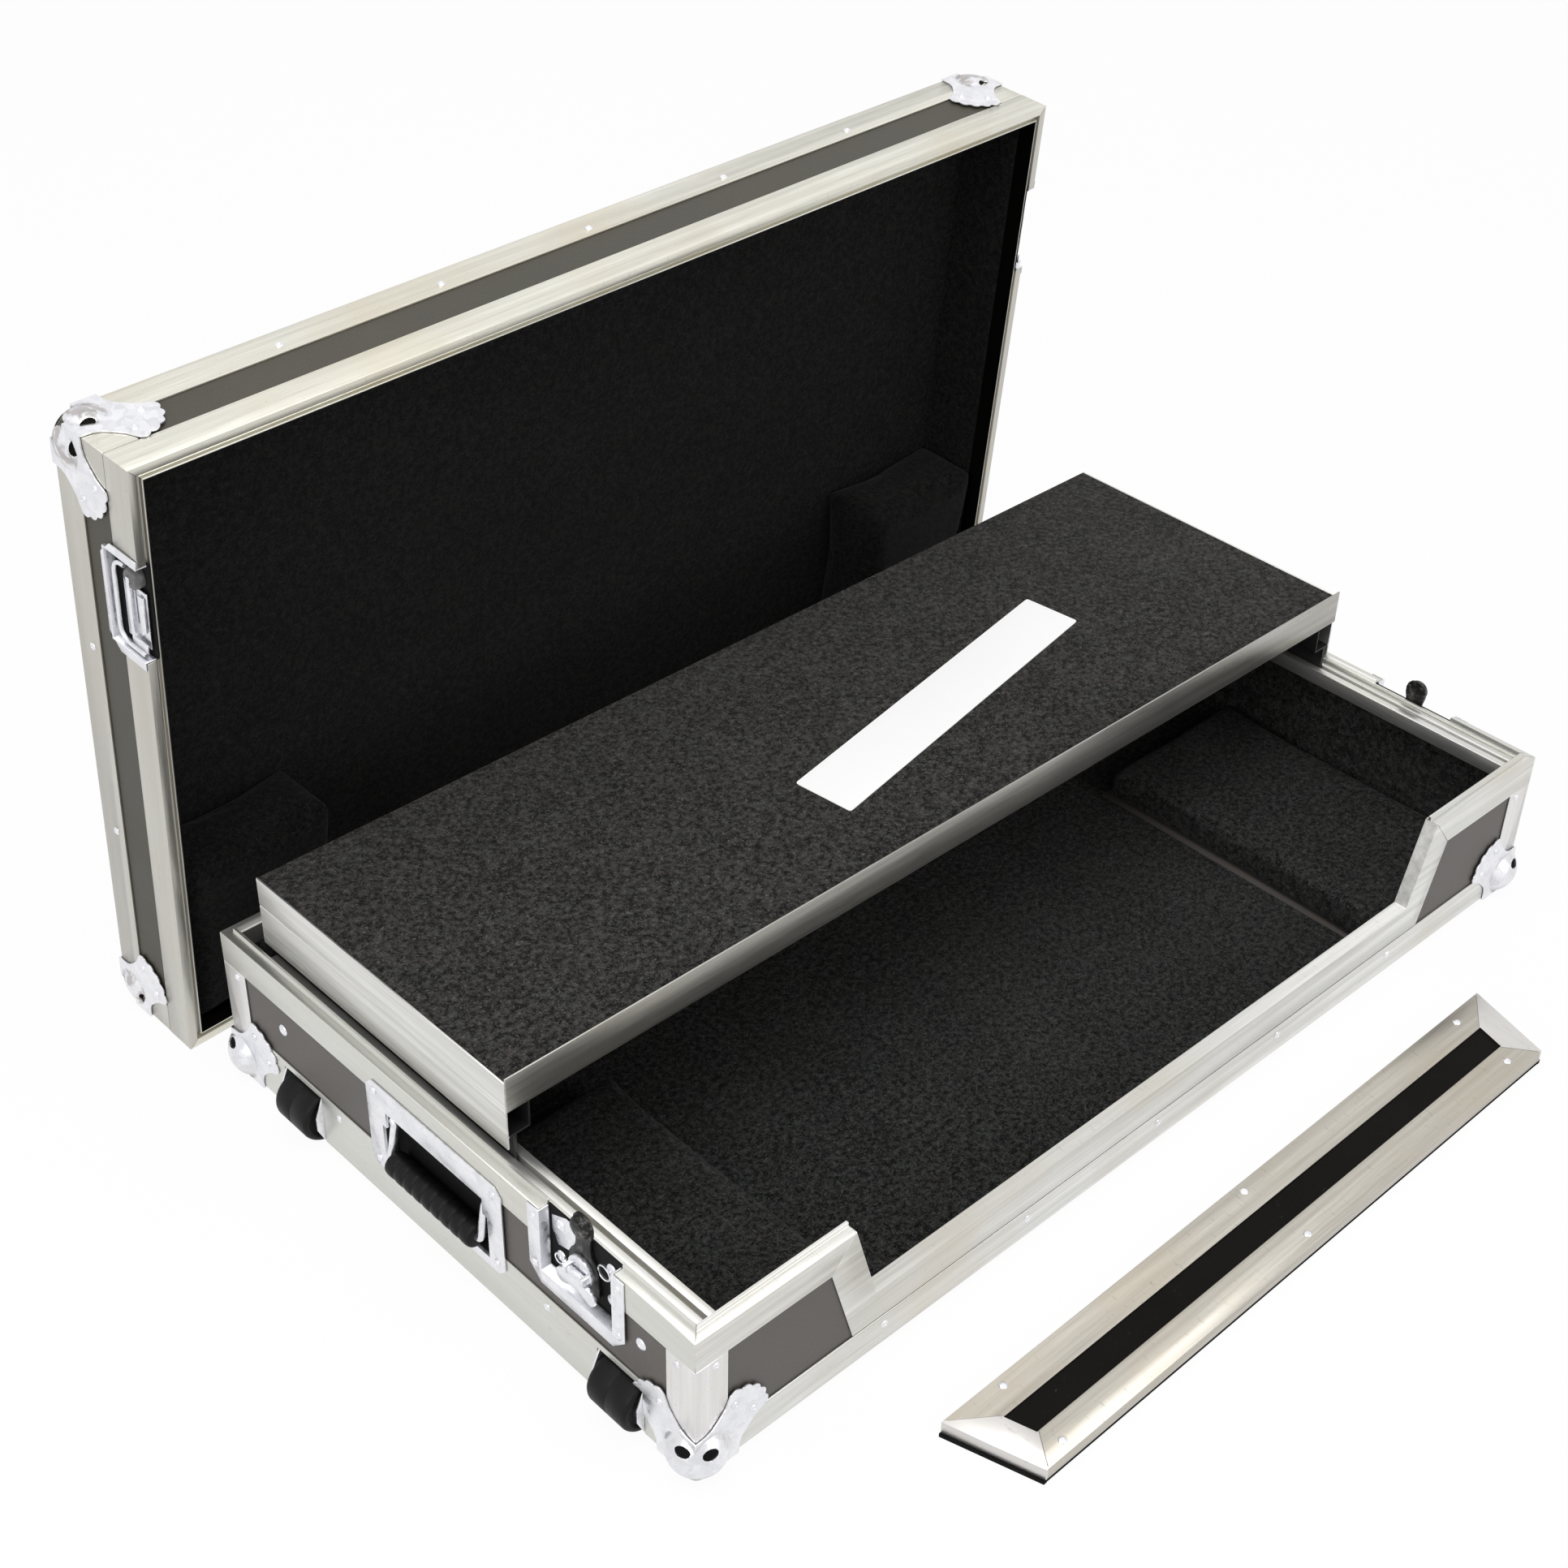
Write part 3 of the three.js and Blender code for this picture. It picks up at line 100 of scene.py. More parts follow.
def set_camera():
    bpy.ops.object.camera_add(location=CAMERA_PLACE)
    camera = bpy.context.object
    camera.rotation_euler = [math.radians(turn) for turn in CAMERA_TURNS]
    camera.data.lens = CAMERA_LENS
    camera.data.sensor_width = CAMERA_SENSOR
    camera.data.clip_end = CAMERA_REACH
    bpy.context.scene.camera = camera
    bpy.context.scene.view_settings.view_transform = "Standard"


set_camera()


# Materials
class Wire:
    """A socket of a material's nodes, so that patterns are written as sums."""

    def __init__(self, tree, socket=None):
        self.tree = tree
        self.socket = socket

    def node(self, kind, settings=None, inputs=None, output=0):
        made = self.tree.nodes.new(kind)
        for name, value in (settings or {}).items():
            setattr(made, name, value)
        for name, value in (inputs or {}).items():
            if isinstance(value, Wire):
                self.tree.links.new(value.socket, made.inputs[name])
            else:
                made.inputs[name].default_value = value
        return Wire(self.tree, made.outputs[output]) if made.outputs else None

    def maths(self, operation, first, second=0.0):
        return self.node("ShaderNodeMath", {"operation": operation}, {0: first, 1: second})

    def __add__(self, other):
        return self.maths("ADD", self, other)

    def __radd__(self, other):
        return self.maths("ADD", other, self)

    def __sub__(self, other):
        return self.maths("SUBTRACT", self, other)

    def __rsub__(self, other):
        return self.maths("SUBTRACT", other, self)

    def __mul__(self, other):
        return self.maths("MULTIPLY", self, other)

    def __rmul__(self, other):
        return self.maths("MULTIPLY", other, self)

    def __lt__(self, other):
        return self.maths("LESS_THAN", self, other)

    def __gt__(self, other):
        return self.maths("GREATER_THAN", self, other)

    def __abs__(self):
        return self.maths("ABSOLUTE", self)


def start_material(name, place=None):
    """A new material, and the point that its pattern is worked out at, from a place if one is given."""
    material = bpy.data.materials.new(name)
    material.use_nodes = True
    material.node_tree.nodes.clear()
    point = Wire(material.node_tree).node("ShaderNodeTexCoord", output="Object")
    if place is not None:
        inputs = {0: point, "Location": place.translation, "Rotation": place.to_euler()}
        point = point.node("ShaderNodeMapping", {"vector_type": "TEXTURE"}, inputs)
    return material, point


def end_material(material, point, looks):
    shader = point.node("ShaderNodeBsdfPrincipled", inputs=looks)
    point.node("ShaderNodeOutputMaterial", inputs={"Surface": shader})
    return material


def noise(point, scale, detail=2.0, rough=0.5):
    inputs = {"Vector": point, "Scale": scale, "Detail": detail, "Roughness": rough}
    return point.node("ShaderNodeTexNoise", inputs=inputs)


def stretched(point, x, y, z):
    return point.node("ShaderNodeVectorMath", {"operation": "MULTIPLY"}, {0: point, 1: (x, y, z)})


def spread(wire, low, high, to_low=0.0, to_high=1.0):
    inputs = {"Value": wire, "From Min": low, "From Max": high, "To Min": to_low, "To Max": to_high}
    return wire.node("ShaderNodeMapRange", {"clamp": True}, inputs)


def tint(factor, first, second):
    return factor.node("ShaderNodeMix", {"data_type": "RGBA"}, {0: factor, 6: first, 7: second}, 2)


def bump(height, strength, distance):
    inputs = {"Height": height, "Strength": strength, "Distance": distance}
    return height.node("ShaderNodeBump", inputs=inputs)


def axes(point):
    return [point.node("ShaderNodeSeparateXYZ", inputs={0: point}, output=letter) for letter in "XYZ"]


# Depths of the finishes' relief
FILM_RELIEF = 0.1 * MM
DRAWN_RELIEF = 0.2 * MM
RUBBER_RELIEF = 0.3 * MM
PEEL_RELIEF = 0.4 * MM
ZINC_RELIEF = 0.5 * MM
FELT_RELIEF = 1.2 * MM

# Depths from a side or an end at which a finish changes, most of them to painted shade: inside the lid's
# rim, in the pans, over the shelf's glide strips and inside the lid's boards
SEAM_START = 1.6 * MM
SEAM_WIDTH = (0.15 * MM, 0.5 * MM)
PAINTED_SHADE_START = 11.4 * MM
LATCH_PAN_EDGE = (6.5 * MM, 7.5 * MM)
HANDLE_PAN_EDGE = (0.1 * MM, 0.9 * MM)
HANDLE_PAN_START = 190 * MM
GLIDE_START = 16.1 * MM
GLIDE_DROP = 12 * MM
BOARD_MIDDLE = 5 * MM

# Where the finish of a corner's ball ends, how low the painted shade underneath it starts, and how far the
# edge of that shade wanders
BALL_EDGE = (24.5 * MM, 23 * MM)
UNDERSIDE_SHADE_DEPTHS = (9 * MM, 20 * MM)
UNDERSIDE_SHADE_WANDER = 4 * MM

ALLOY_DARK = (0.55, 0.548, 0.52, 1)
ALLOY_PALE = (0.85, 0.845, 0.825, 1)


def aluminium(
    name, place, shape=None, upright=False, dark=ALLOY_DARK, pale=ALLOY_PALE, ends=None, painted_shade_from=0
):
    """Satin extruded aluminium: fine lines along each bar, mitre seams where two bars meet, light scuffs.

    shape is (middle x, middle y, half width, half depth, lean of the ends) of a mitred frame.
    ends is the colour of its short bars, where painted light makes them lighter or darker than the long
    ones.
    painted_shade_from is the depth from its sides and ends past which it is painted near-black, as painted
    shade."""
    material, point = start_material(name, place)
    seam = None
    if shape:
        middle_x, middle_y, half_x, half_y, lean = shape
        x, y, z = axes(point)
        from_end = (half_x + lean * y - abs(x - middle_x)) * (1 / math.hypot(1, lean))
        from_side = half_y - abs(y - middle_y)
        sideways = from_end < from_side
        slow, fast = 0.02, 1.0
        along_x = x * (slow + (fast - slow) * sideways)
        along_y = y * (fast - (fast - slow) * sideways)
        lines_at = point.node("ShaderNodeCombineXYZ", inputs={0: along_x, 1: along_y, 2: z})
        inward = (from_end > SEAM_START) * (from_side > SEAM_START)
        seam = spread(abs(from_end - from_side), *SEAM_WIDTH, 1.0, 0.0) * inward
    elif upright:
        lines_at = stretched(point, 1, 1, 0.02)
    else:
        lines_at = stretched(point, 0.02, 1, 1)
    fine = noise(lines_at, 1500, 2)
    streak = noise(lines_at, 150, 3, 0.6)
    cloud = noise(point, 7, 3)
    scuff = spread(noise(stretched(point, 1, 0.3, 1), 320, 4, 0.7), 0.60, 0.72)
    shade = spread(fine * 0.3 + streak * 0.7, 0.32, 0.68)
    colour = tint(shade, dark, pale)
    warm = [part * share for part, share in zip(dark[:3], (1.12, 1.03, 0.88))] + [1]
    colour = tint(spread(cloud, 0.45, 0.7) * 0.45, colour, warm)
    if ends:
        colour = tint(sideways * 0.75, colour, ends)
    colour = tint(scuff * 0.4, colour, [part * 0.62 for part in dark[:3]] + [1])
    height = fine * 0.6 + streak * 0.4
    if painted_shade_from:
        # Painted shade: near-black inside the frame, past a depth from its sides and ends
        painted_shade_inside = (from_end > painted_shade_from) * (from_side > painted_shade_from)
        colour = tint(painted_shade_inside * 0.98, colour, (0.002, 0.002, 0.002, 1))
    if seam:
        colour = tint(seam * 0.75, colour, (0.08, 0.075, 0.07, 1))
        height = height - seam * 3
    looks = {
        "Base Color": colour,
        "Metallic": 0.9,
        "Roughness": spread(cloud * 0.5 + fine * 0.5, 0.3, 0.7, 0.28, 0.44) + scuff * 0.12,
        "Normal": bump(height, 0.25, DRAWN_RELIEF),
    }
    return end_material(material, point, looks)


def zinc_plate(name, pans=None, balls=None, reflection_share=0):
    """Bright zinc on pressed steel: small spangle, faint draw marks and darker specks.

    pans is the place of a box: the pans that are sunk into its sides get painted shade, near-black inside.
    balls is the place of a box, the height of its outer face, the way in from there and the middle
    of a ball: the balls on its corners get painted shade underneath and brown patches of painted
    reflection."""
    material, point = start_material(name, pans or (balls and balls[0]))
    flake_inputs = {"Vector": point, "Scale": 190, "Randomness": 1.0}
    flake = point.node("ShaderNodeTexVoronoi", inputs=flake_inputs, output="Color")
    flake = point.node("ShaderNodeSeparateColor", inputs={0: flake})
    dimple = noise(point, 260, 3)
    cloud = noise(point, 45, 3, 0.6)
    speck = spread(noise(point, 420, 3, 0.6), 0.70, 0.76)
    spangle = spread(flake * 0.3 + cloud * 0.7, 0.3, 0.7)
    colour = tint(spangle, (0.74, 0.745, 0.78, 1), (0.88, 0.88, 0.91, 1))
    if balls:
        x, y, z = axes(point)
        place, face, inward, middle = balls
        ball_x = middle[0] - HALF_WIDTH + abs(x - HALF_WIDTH)
        ball_y = middle[1] - HALF_DEPTH + abs(y - HALF_DEPTH)
        ball_z = middle[2] - (z - face) * inward
        reach = point.maths("POWER", ball_x * ball_x + ball_y * ball_y + ball_z * ball_z, 0.5)
        on_ball = spread(reach, *BALL_EDGE)
        # Painted shade: the underside of each ball is darkened
        underside_shade = spread(ball_z + cloud * UNDERSIDE_SHADE_WANDER, *UNDERSIDE_SHADE_DEPTHS) * on_ball
        colour = tint(underside_shade * 0.9, colour, (0.27, 0.265, 0.26, 1))
        # Painted reflection: brown patches on the balls
        brown_reflection = spread(noise(point, 75, 3, 0.6), 0.46, 0.56) * on_ball
        colour = tint(brown_reflection * reflection_share, colour, (0.19, 0.145, 0.105, 1))
    looks = {
        "Base Color": tint(speck * 0.5, colour, (0.30, 0.29, 0.30, 1)),
        "Metallic": 0.95,
        "Roughness": spread(flake * 0.5 + dimple * 0.5, 0.2, 0.8, 0.22, 0.38),
        "Normal": bump(dimple * 0.7 + cloud * 0.3, 0.12, ZINC_RELIEF),
    }
    if pans is None:
        return end_material(material, point, looks)
    # Painted shade: the insides of the pans are near-black, as shade in the recesses
    x, y, z = axes(point)
    depth = HALF_WIDTH - abs(x - HALF_WIDTH)
    by_handle = y > HANDLE_PAN_START
    sunk = spread(depth, *LATCH_PAN_EDGE)
    sunk = sunk + (spread(depth, *HANDLE_PAN_EDGE) - sunk) * by_handle
    black = {
        "Base Color": tint(cloud, (0.003, 0.003, 0.003, 1), (0.008, 0.008, 0.009, 1)),
        "Roughness": spread(dimple, 0.3, 0.7, 0.6, 0.75),
        "Specular IOR Level": 0.15,
    }
    zinc = point.node("ShaderNodeBsdfPrincipled", inputs=looks)
    paint = point.node("ShaderNodeBsdfPrincipled", inputs=black)
    mixed = point.node("ShaderNodeMixShader", inputs={0: sunk, 1: zinc, 2: paint})
    point.node("ShaderNodeOutputMaterial", inputs={"Surface": mixed})
    return material


def runner_metal():
    """The shelf's runners: satin aluminium outside; under and behind it, where the glide strip is, painted
    near-black as painted shade.
    """
    material, point = start_material("aluminium of the runners with painted shade under them", BASE_PLACE)
    fine = noise(stretched(point, 1, 0.02, 1), 1500, 2)
    streak = noise(stretched(point, 1, 0.02, 1), 150, 3, 0.6)
    x, y, z = axes(point)
    behind = (HALF_WIDTH - abs(x - HALF_WIDTH)) > GLIDE_START
    # Painted shade: the glide strip under the runner is near-black, not metal
    glide = behind * (z < SHELF_TOP - GLIDE_DROP)
    colour = tint(spread(fine * 0.3 + streak * 0.7, 0.32, 0.68), ALLOY_DARK, ALLOY_PALE)
    looks = {
        "Base Color": tint(glide, colour, (0.004, 0.004, 0.004, 1)),
        "Metallic": 0.9 - 0.9 * glide,
        "Roughness": spread(fine, 0.3, 0.7, 0.30, 0.44) + 0.15 * glide,
        "Normal": bump(fine * 0.6 + streak * 0.4, 0.25, DRAWN_RELIEF),
    }
    return end_material(material, point, looks)


def dark_steel():
    """Steel of the latch hooks, painted near-black as painted shade, with brighter patches as painted
    highlights.
    """
    material, point = start_material("near-black steel with painted shade and highlights")
    grain = noise(stretched(point, 1, 1, 0.1), 900, 3)
    # Painted highlights: brighter patches on the near-black steel
    highlight_patch = spread(noise(point, 130, 4, 0.65), 0.52, 0.68)
    looks = {
        "Base Color": tint(highlight_patch * 0.7, (0.014, 0.014, 0.014, 1), (0.20, 0.19, 0.175, 1)),
        "Metallic": 0.5,
        "Specular IOR Level": 0.3,
        "Roughness": spread(grain, 0.3, 0.7, 0.30, 0.5),
        "Normal": bump(grain, 0.2, RUBBER_RELIEF),
    }
    return end_material(material, point, looks)


def laminate(name, dark, pale, gloss, box=None):
    """Phenolic laminate on plywood: orange-peel skin, faint clouding and small pale rubs.

    box is the place and height of a box whose inside is painted near-black, as painted shade."""
    material, point = start_material(name, box and box[0])
    peel_inputs = {"Vector": point, "Scale": 620, "Smoothness": 0.6}
    peel = point.node("ShaderNodeTexVoronoi", {"feature": "SMOOTH_F1"}, peel_inputs)
    cloud = noise(point, 14, 3)
    fleck = noise(point, 1500, 2)
    rub = spread(noise(stretched(point, 0.4, 1, 1), 260, 5, 0.7), 0.66, 0.76)
    colour = tint(spread(cloud * 0.4 + fleck * 0.6, 0.35, 0.65), dark, pale)
    colour = tint(rub * 0.18, colour, (0.30, 0.29, 0.28, 1))
    if box:
        x, y, z = axes(point)
        between_ends = abs(x - HALF_WIDTH) < HALF_WIDTH - BOARD_MIDDLE
        between_sides = abs(y - HALF_DEPTH) < HALF_DEPTH - BOARD_MIDDLE
        # Painted shade: near-black inside the box
        inside = between_ends * between_sides * (z < box[1] - BOARD_MIDDLE)
        colour = tint(inside * 0.98, colour, (0.001, 0.001, 0.001, 1))
    looks = {
        "Base Color": colour,
        "Roughness": spread(cloud + rub * 0.2, 0.3, 0.8, 0.42, 0.58),
        "Specular IOR Level": gloss,
        "Normal": bump(peel, 0.25, PEEL_RELIEF),
    }
    return end_material(material, point, looks)


def needle_felt(name, dark, pale):
    """Needle-felt carpet: matted fibres lying all ways, with paler hairs and soft tufts."""
    material, point = start_material(name)
    twist_inputs = {"Vector": point, "Scale": 210, "Detail": 2.0}
    twist = point.node("ShaderNodeTexNoise", inputs=twist_inputs, output="Color")
    twist = point.node("ShaderNodeVectorMath", {"operation": "SCALE"}, {0: twist, "Scale": 0.008})
    bent = point.node("ShaderNodeVectorMath", {"operation": "ADD"}, {0: point, 1: twist})
    hairs_x = noise(stretched(bent, 0.3, 1, 1), 900, 2, 0.6)
    hairs_y = noise(stretched(bent, 1, 0.3, 1), 900, 2, 0.6)
    hairs = point.maths("MAXIMUM", hairs_x, hairs_y)
    tuft = noise(point, 210, 4, 0.75)
    patch = noise(point, 22, 3)
    hair = [min(1, 2.2 * part) for part in pale[:3]] + [1]
    pale_hair = spread(hairs, 0.58, 0.70)
    hue = noise(point, 34, 2)
    ruddy = [pale[0] * 1.12, pale[1] * 0.92, pale[2] * 0.95, 1]
    pale = tint(spread(hue, 0.4, 0.6) * 0.6, pale, ruddy)
    colour = tint(spread(tuft * 0.9 + patch * 0.1, 0.43, 0.68), dark, pale)
    colour = tint(pale_hair * 0.6, colour, hair)
    looks = {
        "Base Color": colour,
        "Roughness": 0.97,
        "Specular IOR Level": 0.1,
        "Sheen Weight": 0.04,
        "Sheen Roughness": 0.5,
        "Normal": bump(hairs * 0.5 + tuft * 0.5, 0.7, FELT_RELIEF),
    }
    return end_material(material, point, looks)


def black_rubber(name, shade, rough, gloss=0.3):
    """Black rubber or foam with a fine skin, faint dust and small pits."""
    material, point = start_material(name)
    skin = noise(point, 1300, 2)
    dust = spread(noise(point, 60, 4, 0.65), 0.45, 0.75)
    pits = spread(noise(point, 700, 2), 0.66, 0.72)
    dusty = (shade * 2.6, shade * 2.5, shade * 2.4, 1)
    deep = (shade * 0.3, shade * 0.3, shade * 0.3, 1)
    colour = tint(dust * 0.5, (shade, shade, shade, 1), dusty)
    looks = {
        "Base Color": tint(pits * 0.5, colour, deep),
        "Roughness": spread(skin, 0.3, 0.7, rough - 0.1, rough + 0.08),
        "Specular IOR Level": gloss,
        "Normal": bump(skin - pits, 0.2, RUBBER_RELIEF),
    }
    return end_material(material, point, looks)


def white_strip():
    """The bare write-on strip: smooth white film with a faint sheen and a few finger marks."""
    material, point = start_material("bare white strip")
    mark = spread(noise(point, 35, 4, 0.6), 0.5, 0.8)
    fine = noise(point, 1500, 2)
    looks = {
        "Base Color": tint(mark * 0.2, (1, 1, 1, 1), (0.95, 0.95, 0.95, 1)),
        "Roughness": spread(mark + fine * 0.2, 0.1, 0.9, 0.36, 0.5),
        "Normal": bump(fine, 0.05, FILM_RELIEF),
    }
    return end_material(material, point, looks)


# Mitred frames: middle, half sizes and the lean of the ends
CASE_SHAPE = (HALF_WIDTH, HALF_DEPTH, HALF_WIDTH, HALF_DEPTH, 0)
PANEL_SHAPE = (0, 0.0367, 0.2922, 0.0367, 0.2973)

# Copies of the one satin aluminium, lighter, darker or warmer part by part, and with their short bars set
# apart, as light falls on each: painted light and shade
BASE_ALLOY = {"ends": (0.64, 0.642, 0.60, 1)}
LID_ALLOY = {"dark": (0.59, 0.575, 0.50, 1), "pale": (0.88, 0.868, 0.79, 1), "ends": (0.50, 0.485, 0.45, 1)}
PANEL_ALLOY = {
    "dark": (0.41, 0.385, 0.335, 1),
    "pale": (0.60, 0.57, 0.515, 1),
    "ends": (0.74, 0.725, 0.715, 1),
}
ANGLE_ALLOY = {"dark": (0.68, 0.67, 0.66, 1), "pale": (0.84, 0.83, 0.825, 1)}
LIP_ALLOY = {"dark": (0.31, 0.305, 0.285, 1), "pale": (0.54, 0.53, 0.50, 1)}

ALUMINIUM_BASE = aluminium("mitred aluminium of the base", BASE_PLACE, CASE_SHAPE, **BASE_ALLOY)
# The lid's aluminium is painted near-black inside its rim, as painted shade
ALUMINIUM_LID = aluminium(
    "mitred aluminium of the lid", LID_PLACE, CASE_SHAPE, painted_shade_from=PAINTED_SHADE_START, **LID_ALLOY
)
ALUMINIUM_PANEL = aluminium("mitred aluminium of the panel", PANEL_PLACE, PANEL_SHAPE, **PANEL_ALLOY)
ALUMINIUM_UPRIGHT = aluminium("aluminium corner angle", BASE_PLACE, upright=True, **ANGLE_ALLOY)
ALUMINIUM_ALONG = aluminium("aluminium bar along the case", BASE_PLACE)
ALUMINIUM_LIP = aluminium("aluminium front lip of the shelf", BASE_PLACE, **LIP_ALLOY)
ALUMINIUM_DEEP = aluminium("aluminium bar front to back", Matrix.Rotation(math.pi / 2, 4, "Z"))
ZINC = zinc_plate("bright zinc plate")
# The pans of the base and the keepers of the lid carry painted shade inside
ZINC_SHADED_PANS = zinc_plate("bright zinc plate with painted shade in its pans", BASE_PLACE)
ZINC_SHADED_KEEPERS = zinc_plate("bright zinc plate of the keepers", LID_PLACE)
BASE_BALLS = (BASE_PLACE, 0, 1, BASE_BALL)
LID_BALLS = (LID_PLACE, LID_HEIGHT, -1, LID_BALL)
# The share given here is how much painted brown reflection the balls carry
ZINC_BASE_CORNERS = zinc_plate("zinc of the base corners", balls=BASE_BALLS, reflection_share=0.12)
ZINC_LID_CORNERS = zinc_plate("zinc of the lid corners", balls=LID_BALLS, reflection_share=0.5)
RUNNER = runner_metal()
SHADED_STEEL = dark_steel()
LAMINATE = laminate("dark laminate", (0.080, 0.072, 0.067, 1), (0.116, 0.105, 0.098, 1), 0.35)
# A darker, browner copy of the base's laminate: painted shade and painted warm light
LAMINATE_LID_SHADED = laminate(
    "laminate of the lid with painted shade and warm light", (0.046, 0.042, 0.032, 1), (0.078, 0.071, 0.055, 1), 0.3, (LID_PLACE, LID_HEIGHT)
)
LAMINATE_PANEL = laminate(
    "laminate of the panel", (0.002, 0.0018, 0.0015, 1), (0.007, 0.006, 0.005, 1), 0.06
)
FELT_SHELF = needle_felt("carpet of the shelf", (0.007, 0.0068, 0.0065, 1), (0.066, 0.066, 0.061, 1))
FELT_TRAY = needle_felt("carpet of the tray", (0.003, 0.0033, 0.003, 1), (0.046, 0.049, 0.046, 1))
# A darker copy of the carpet, as painted shade inside the lid
FELT_LID_SHADED = needle_felt("carpet of the lid with painted shade", (0.0015, 0.0015, 0.0015, 1), (0.012, 0.013, 0.012, 1))
RUBBER = black_rubber("black rubber", 0.003, 0.5, 0.2)
HUB = black_rubber("grey plastic of the wheel hubs", 0.03, 0.5)
FOAM = black_rubber("black foam", 0.005, 0.88, 0.1)
KNOB = black_rubber("grey steel knob", 0.09, 0.4, 0.6)
STRIP = white_strip()


# Widths of broken edges
EDGE_FINE = 0.22 * MM
EDGE_PLAIN = 0.3 * MM
EDGE_CARPET = 0.7 * MM
EDGE_SHELF = 0.9 * MM
EDGE_FOAM = 0.8 * MM
SHELL_ROUND = 1.0 * MM

# How near two points, or a point and a plane, have to be to count as one
COPY_REACH = 0.01 * MM
JOIN_REACH = 0.001 * MM
SIDE_REACH = 0.05 * MM
THIN = 0.02 * MM


# Making pieces
def in_metres(points):
    return [tuple(part * MM for part in point) for point in points]


def deselect():
    bpy.ops.object.select_all(action="DESELECT")


def pick(piece):
    deselect()
    piece.select_set(True)
    bpy.context.view_layer.objects.active = piece


def apply_modifiers(piece):
    pick(piece)
    for modifier in list(piece.modifiers):
        bpy.ops.object.modifier_apply(modifier=modifier.name)


def apply_place(piece):
    pick(piece)
    bpy.ops.object.transform_apply(location=True, rotation=True, scale=True)


def move_mesh(piece, place):
    """Moves a piece's mesh, and turns its faces back out where the move mirrors it."""
    piece.data.transform(place)
    if place.determinant() < 0:
        piece.data.flip_normals()


def copy_of(piece, name, place=None):
    """A copy of a piece with its own mesh, moved to a place."""
    copy = bpy.data.objects.new(name, piece.data.copy())
    bpy.context.scene.collection.objects.link(copy)
    if place is not None:
        move_mesh(copy, place)
    return copy


def joined(pieces, name):
    deselect()
    for piece in pieces:
        piece.select_set(True)
    bpy.context.view_layer.objects.active = pieces[0]
    bpy.ops.object.join()
    whole = bpy.context.view_layer.objects.active
    whole.name = name
    whole.data.name = name
    return whole


def remove(*pieces):
    for piece in pieces:
        bpy.data.objects.remove(piece, do_unlink=True)


def finish(piece, body, slot, material, *nodes):
    """Gives a piece its material and the body that it moves with, and the parts it stands for."""
    piece.data.materials.clear()
    piece.data.materials.append(material)
    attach(piece, body)
    if nodes:
        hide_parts(*nodes)
    return piece


def smooth(piece, angle):
    pick(piece)
    bpy.ops.object.shade_smooth_by_angle(angle=math.radians(angle))


def edit_all():
    bpy.ops.object.mode_set(mode="EDIT")
    bpy.ops.mesh.select_all(action="SELECT")


def merge_points(piece, reach, flatten=False, outward=False):
    """Merges points within a reach, and may join the faces of one plane or turn all faces out."""
    pick(piece)
    edit_all()
    bpy.ops.mesh.remove_doubles(threshold=reach)
    if flatten:
        bpy.ops.mesh.dissolve_limited(angle_limit=math.radians(1))
    if outward:
        bpy.ops.mesh.normals_make_consistent(inside=False)
    bpy.ops.object.mode_set(mode="OBJECT")


def round_edges(piece, width, segments, angle, marked=False):
    """Rounds the edges that turn by more than an angle in degrees, or only those that are marked."""
    bevel = piece.modifiers.new("edge", "BEVEL")
    bevel.width = width
    bevel.segments = segments
    bevel.angle_limit = math.radians(angle)
    bevel.limit_method = "WEIGHT" if marked else "ANGLE"
    bevel.use_clamp_overlap = not marked
    apply_modifiers(piece)


def turned_form(name, profile, sides):
    """A turned shape about Z: a ring that is extruded and scaled through (radius, height) points."""
    points = [(max(radius, THIN), height) for radius, height in profile]
    deselect()
    bpy.ops.mesh.primitive_circle_add(vertices=sides, radius=points[0][0])
    piece = bpy.context.object
    edit_all()
    bpy.ops.transform.translate(value=(0, 0, points[0][1]))
    if points[0][0] == THIN:
        bpy.ops.mesh.edge_face_add()
    for (radius, height), (next_radius, next_height) in zip(points, points[1:]):
        move = {"value": (0, 0, next_height - height)}
        bpy.ops.mesh.extrude_region_move(TRANSFORM_OT_translate=move)
        ratio = next_radius / radius
        bpy.ops.transform.resize(value=(ratio, ratio, 1))
    bpy.ops.object.mode_set(mode="OBJECT")
    merge_points(piece, JOIN_REACH, outward=True)
    piece.name = name
    smooth(piece, 40)
    return piece


def mark_outer_edges(piece, place, size):
    """Marks the edges that lie where two sides of a box meet."""
    back = place.inverted()
    points = [back @ vertex.co for vertex in piece.data.vertices]
    marks = piece.data.attributes.new("bevel_weight_edge", "FLOAT", "EDGE")
    for edge in piece.data.edges:
        ends = [points[i] for i in edge.vertices]
        sides = 0
        for axis, far in enumerate(size):
            for side in (0, far):
                sides += all(abs(end[axis] - side) < SIDE_REACH for end in ends)
        marks.data[edge.index].value = 1.0 if sides >= 2 else 0.0


def softened(name, body, slot, material, width=EDGE_PLAIN, outer=None):
    """A copy of a hard part with its edges broken.

    outer is the place, size and rounding of a shell, whose outer edges are rounded more."""
    piece = copy_of(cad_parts[name], name + "_finished")
    merge_points(piece, COPY_REACH, flatten=True)
    if outer:
        place, size, rounding = outer
        mark_outer_edges(piece, place, size)
        round_edges(piece, rounding, 2, 30, marked=True)
        round_edges(piece, width, 1, 40)
    else:
        round_edges(piece, width, 2, 30)
    smooth(piece, 32)
    return finish(piece, body, slot, material, name)


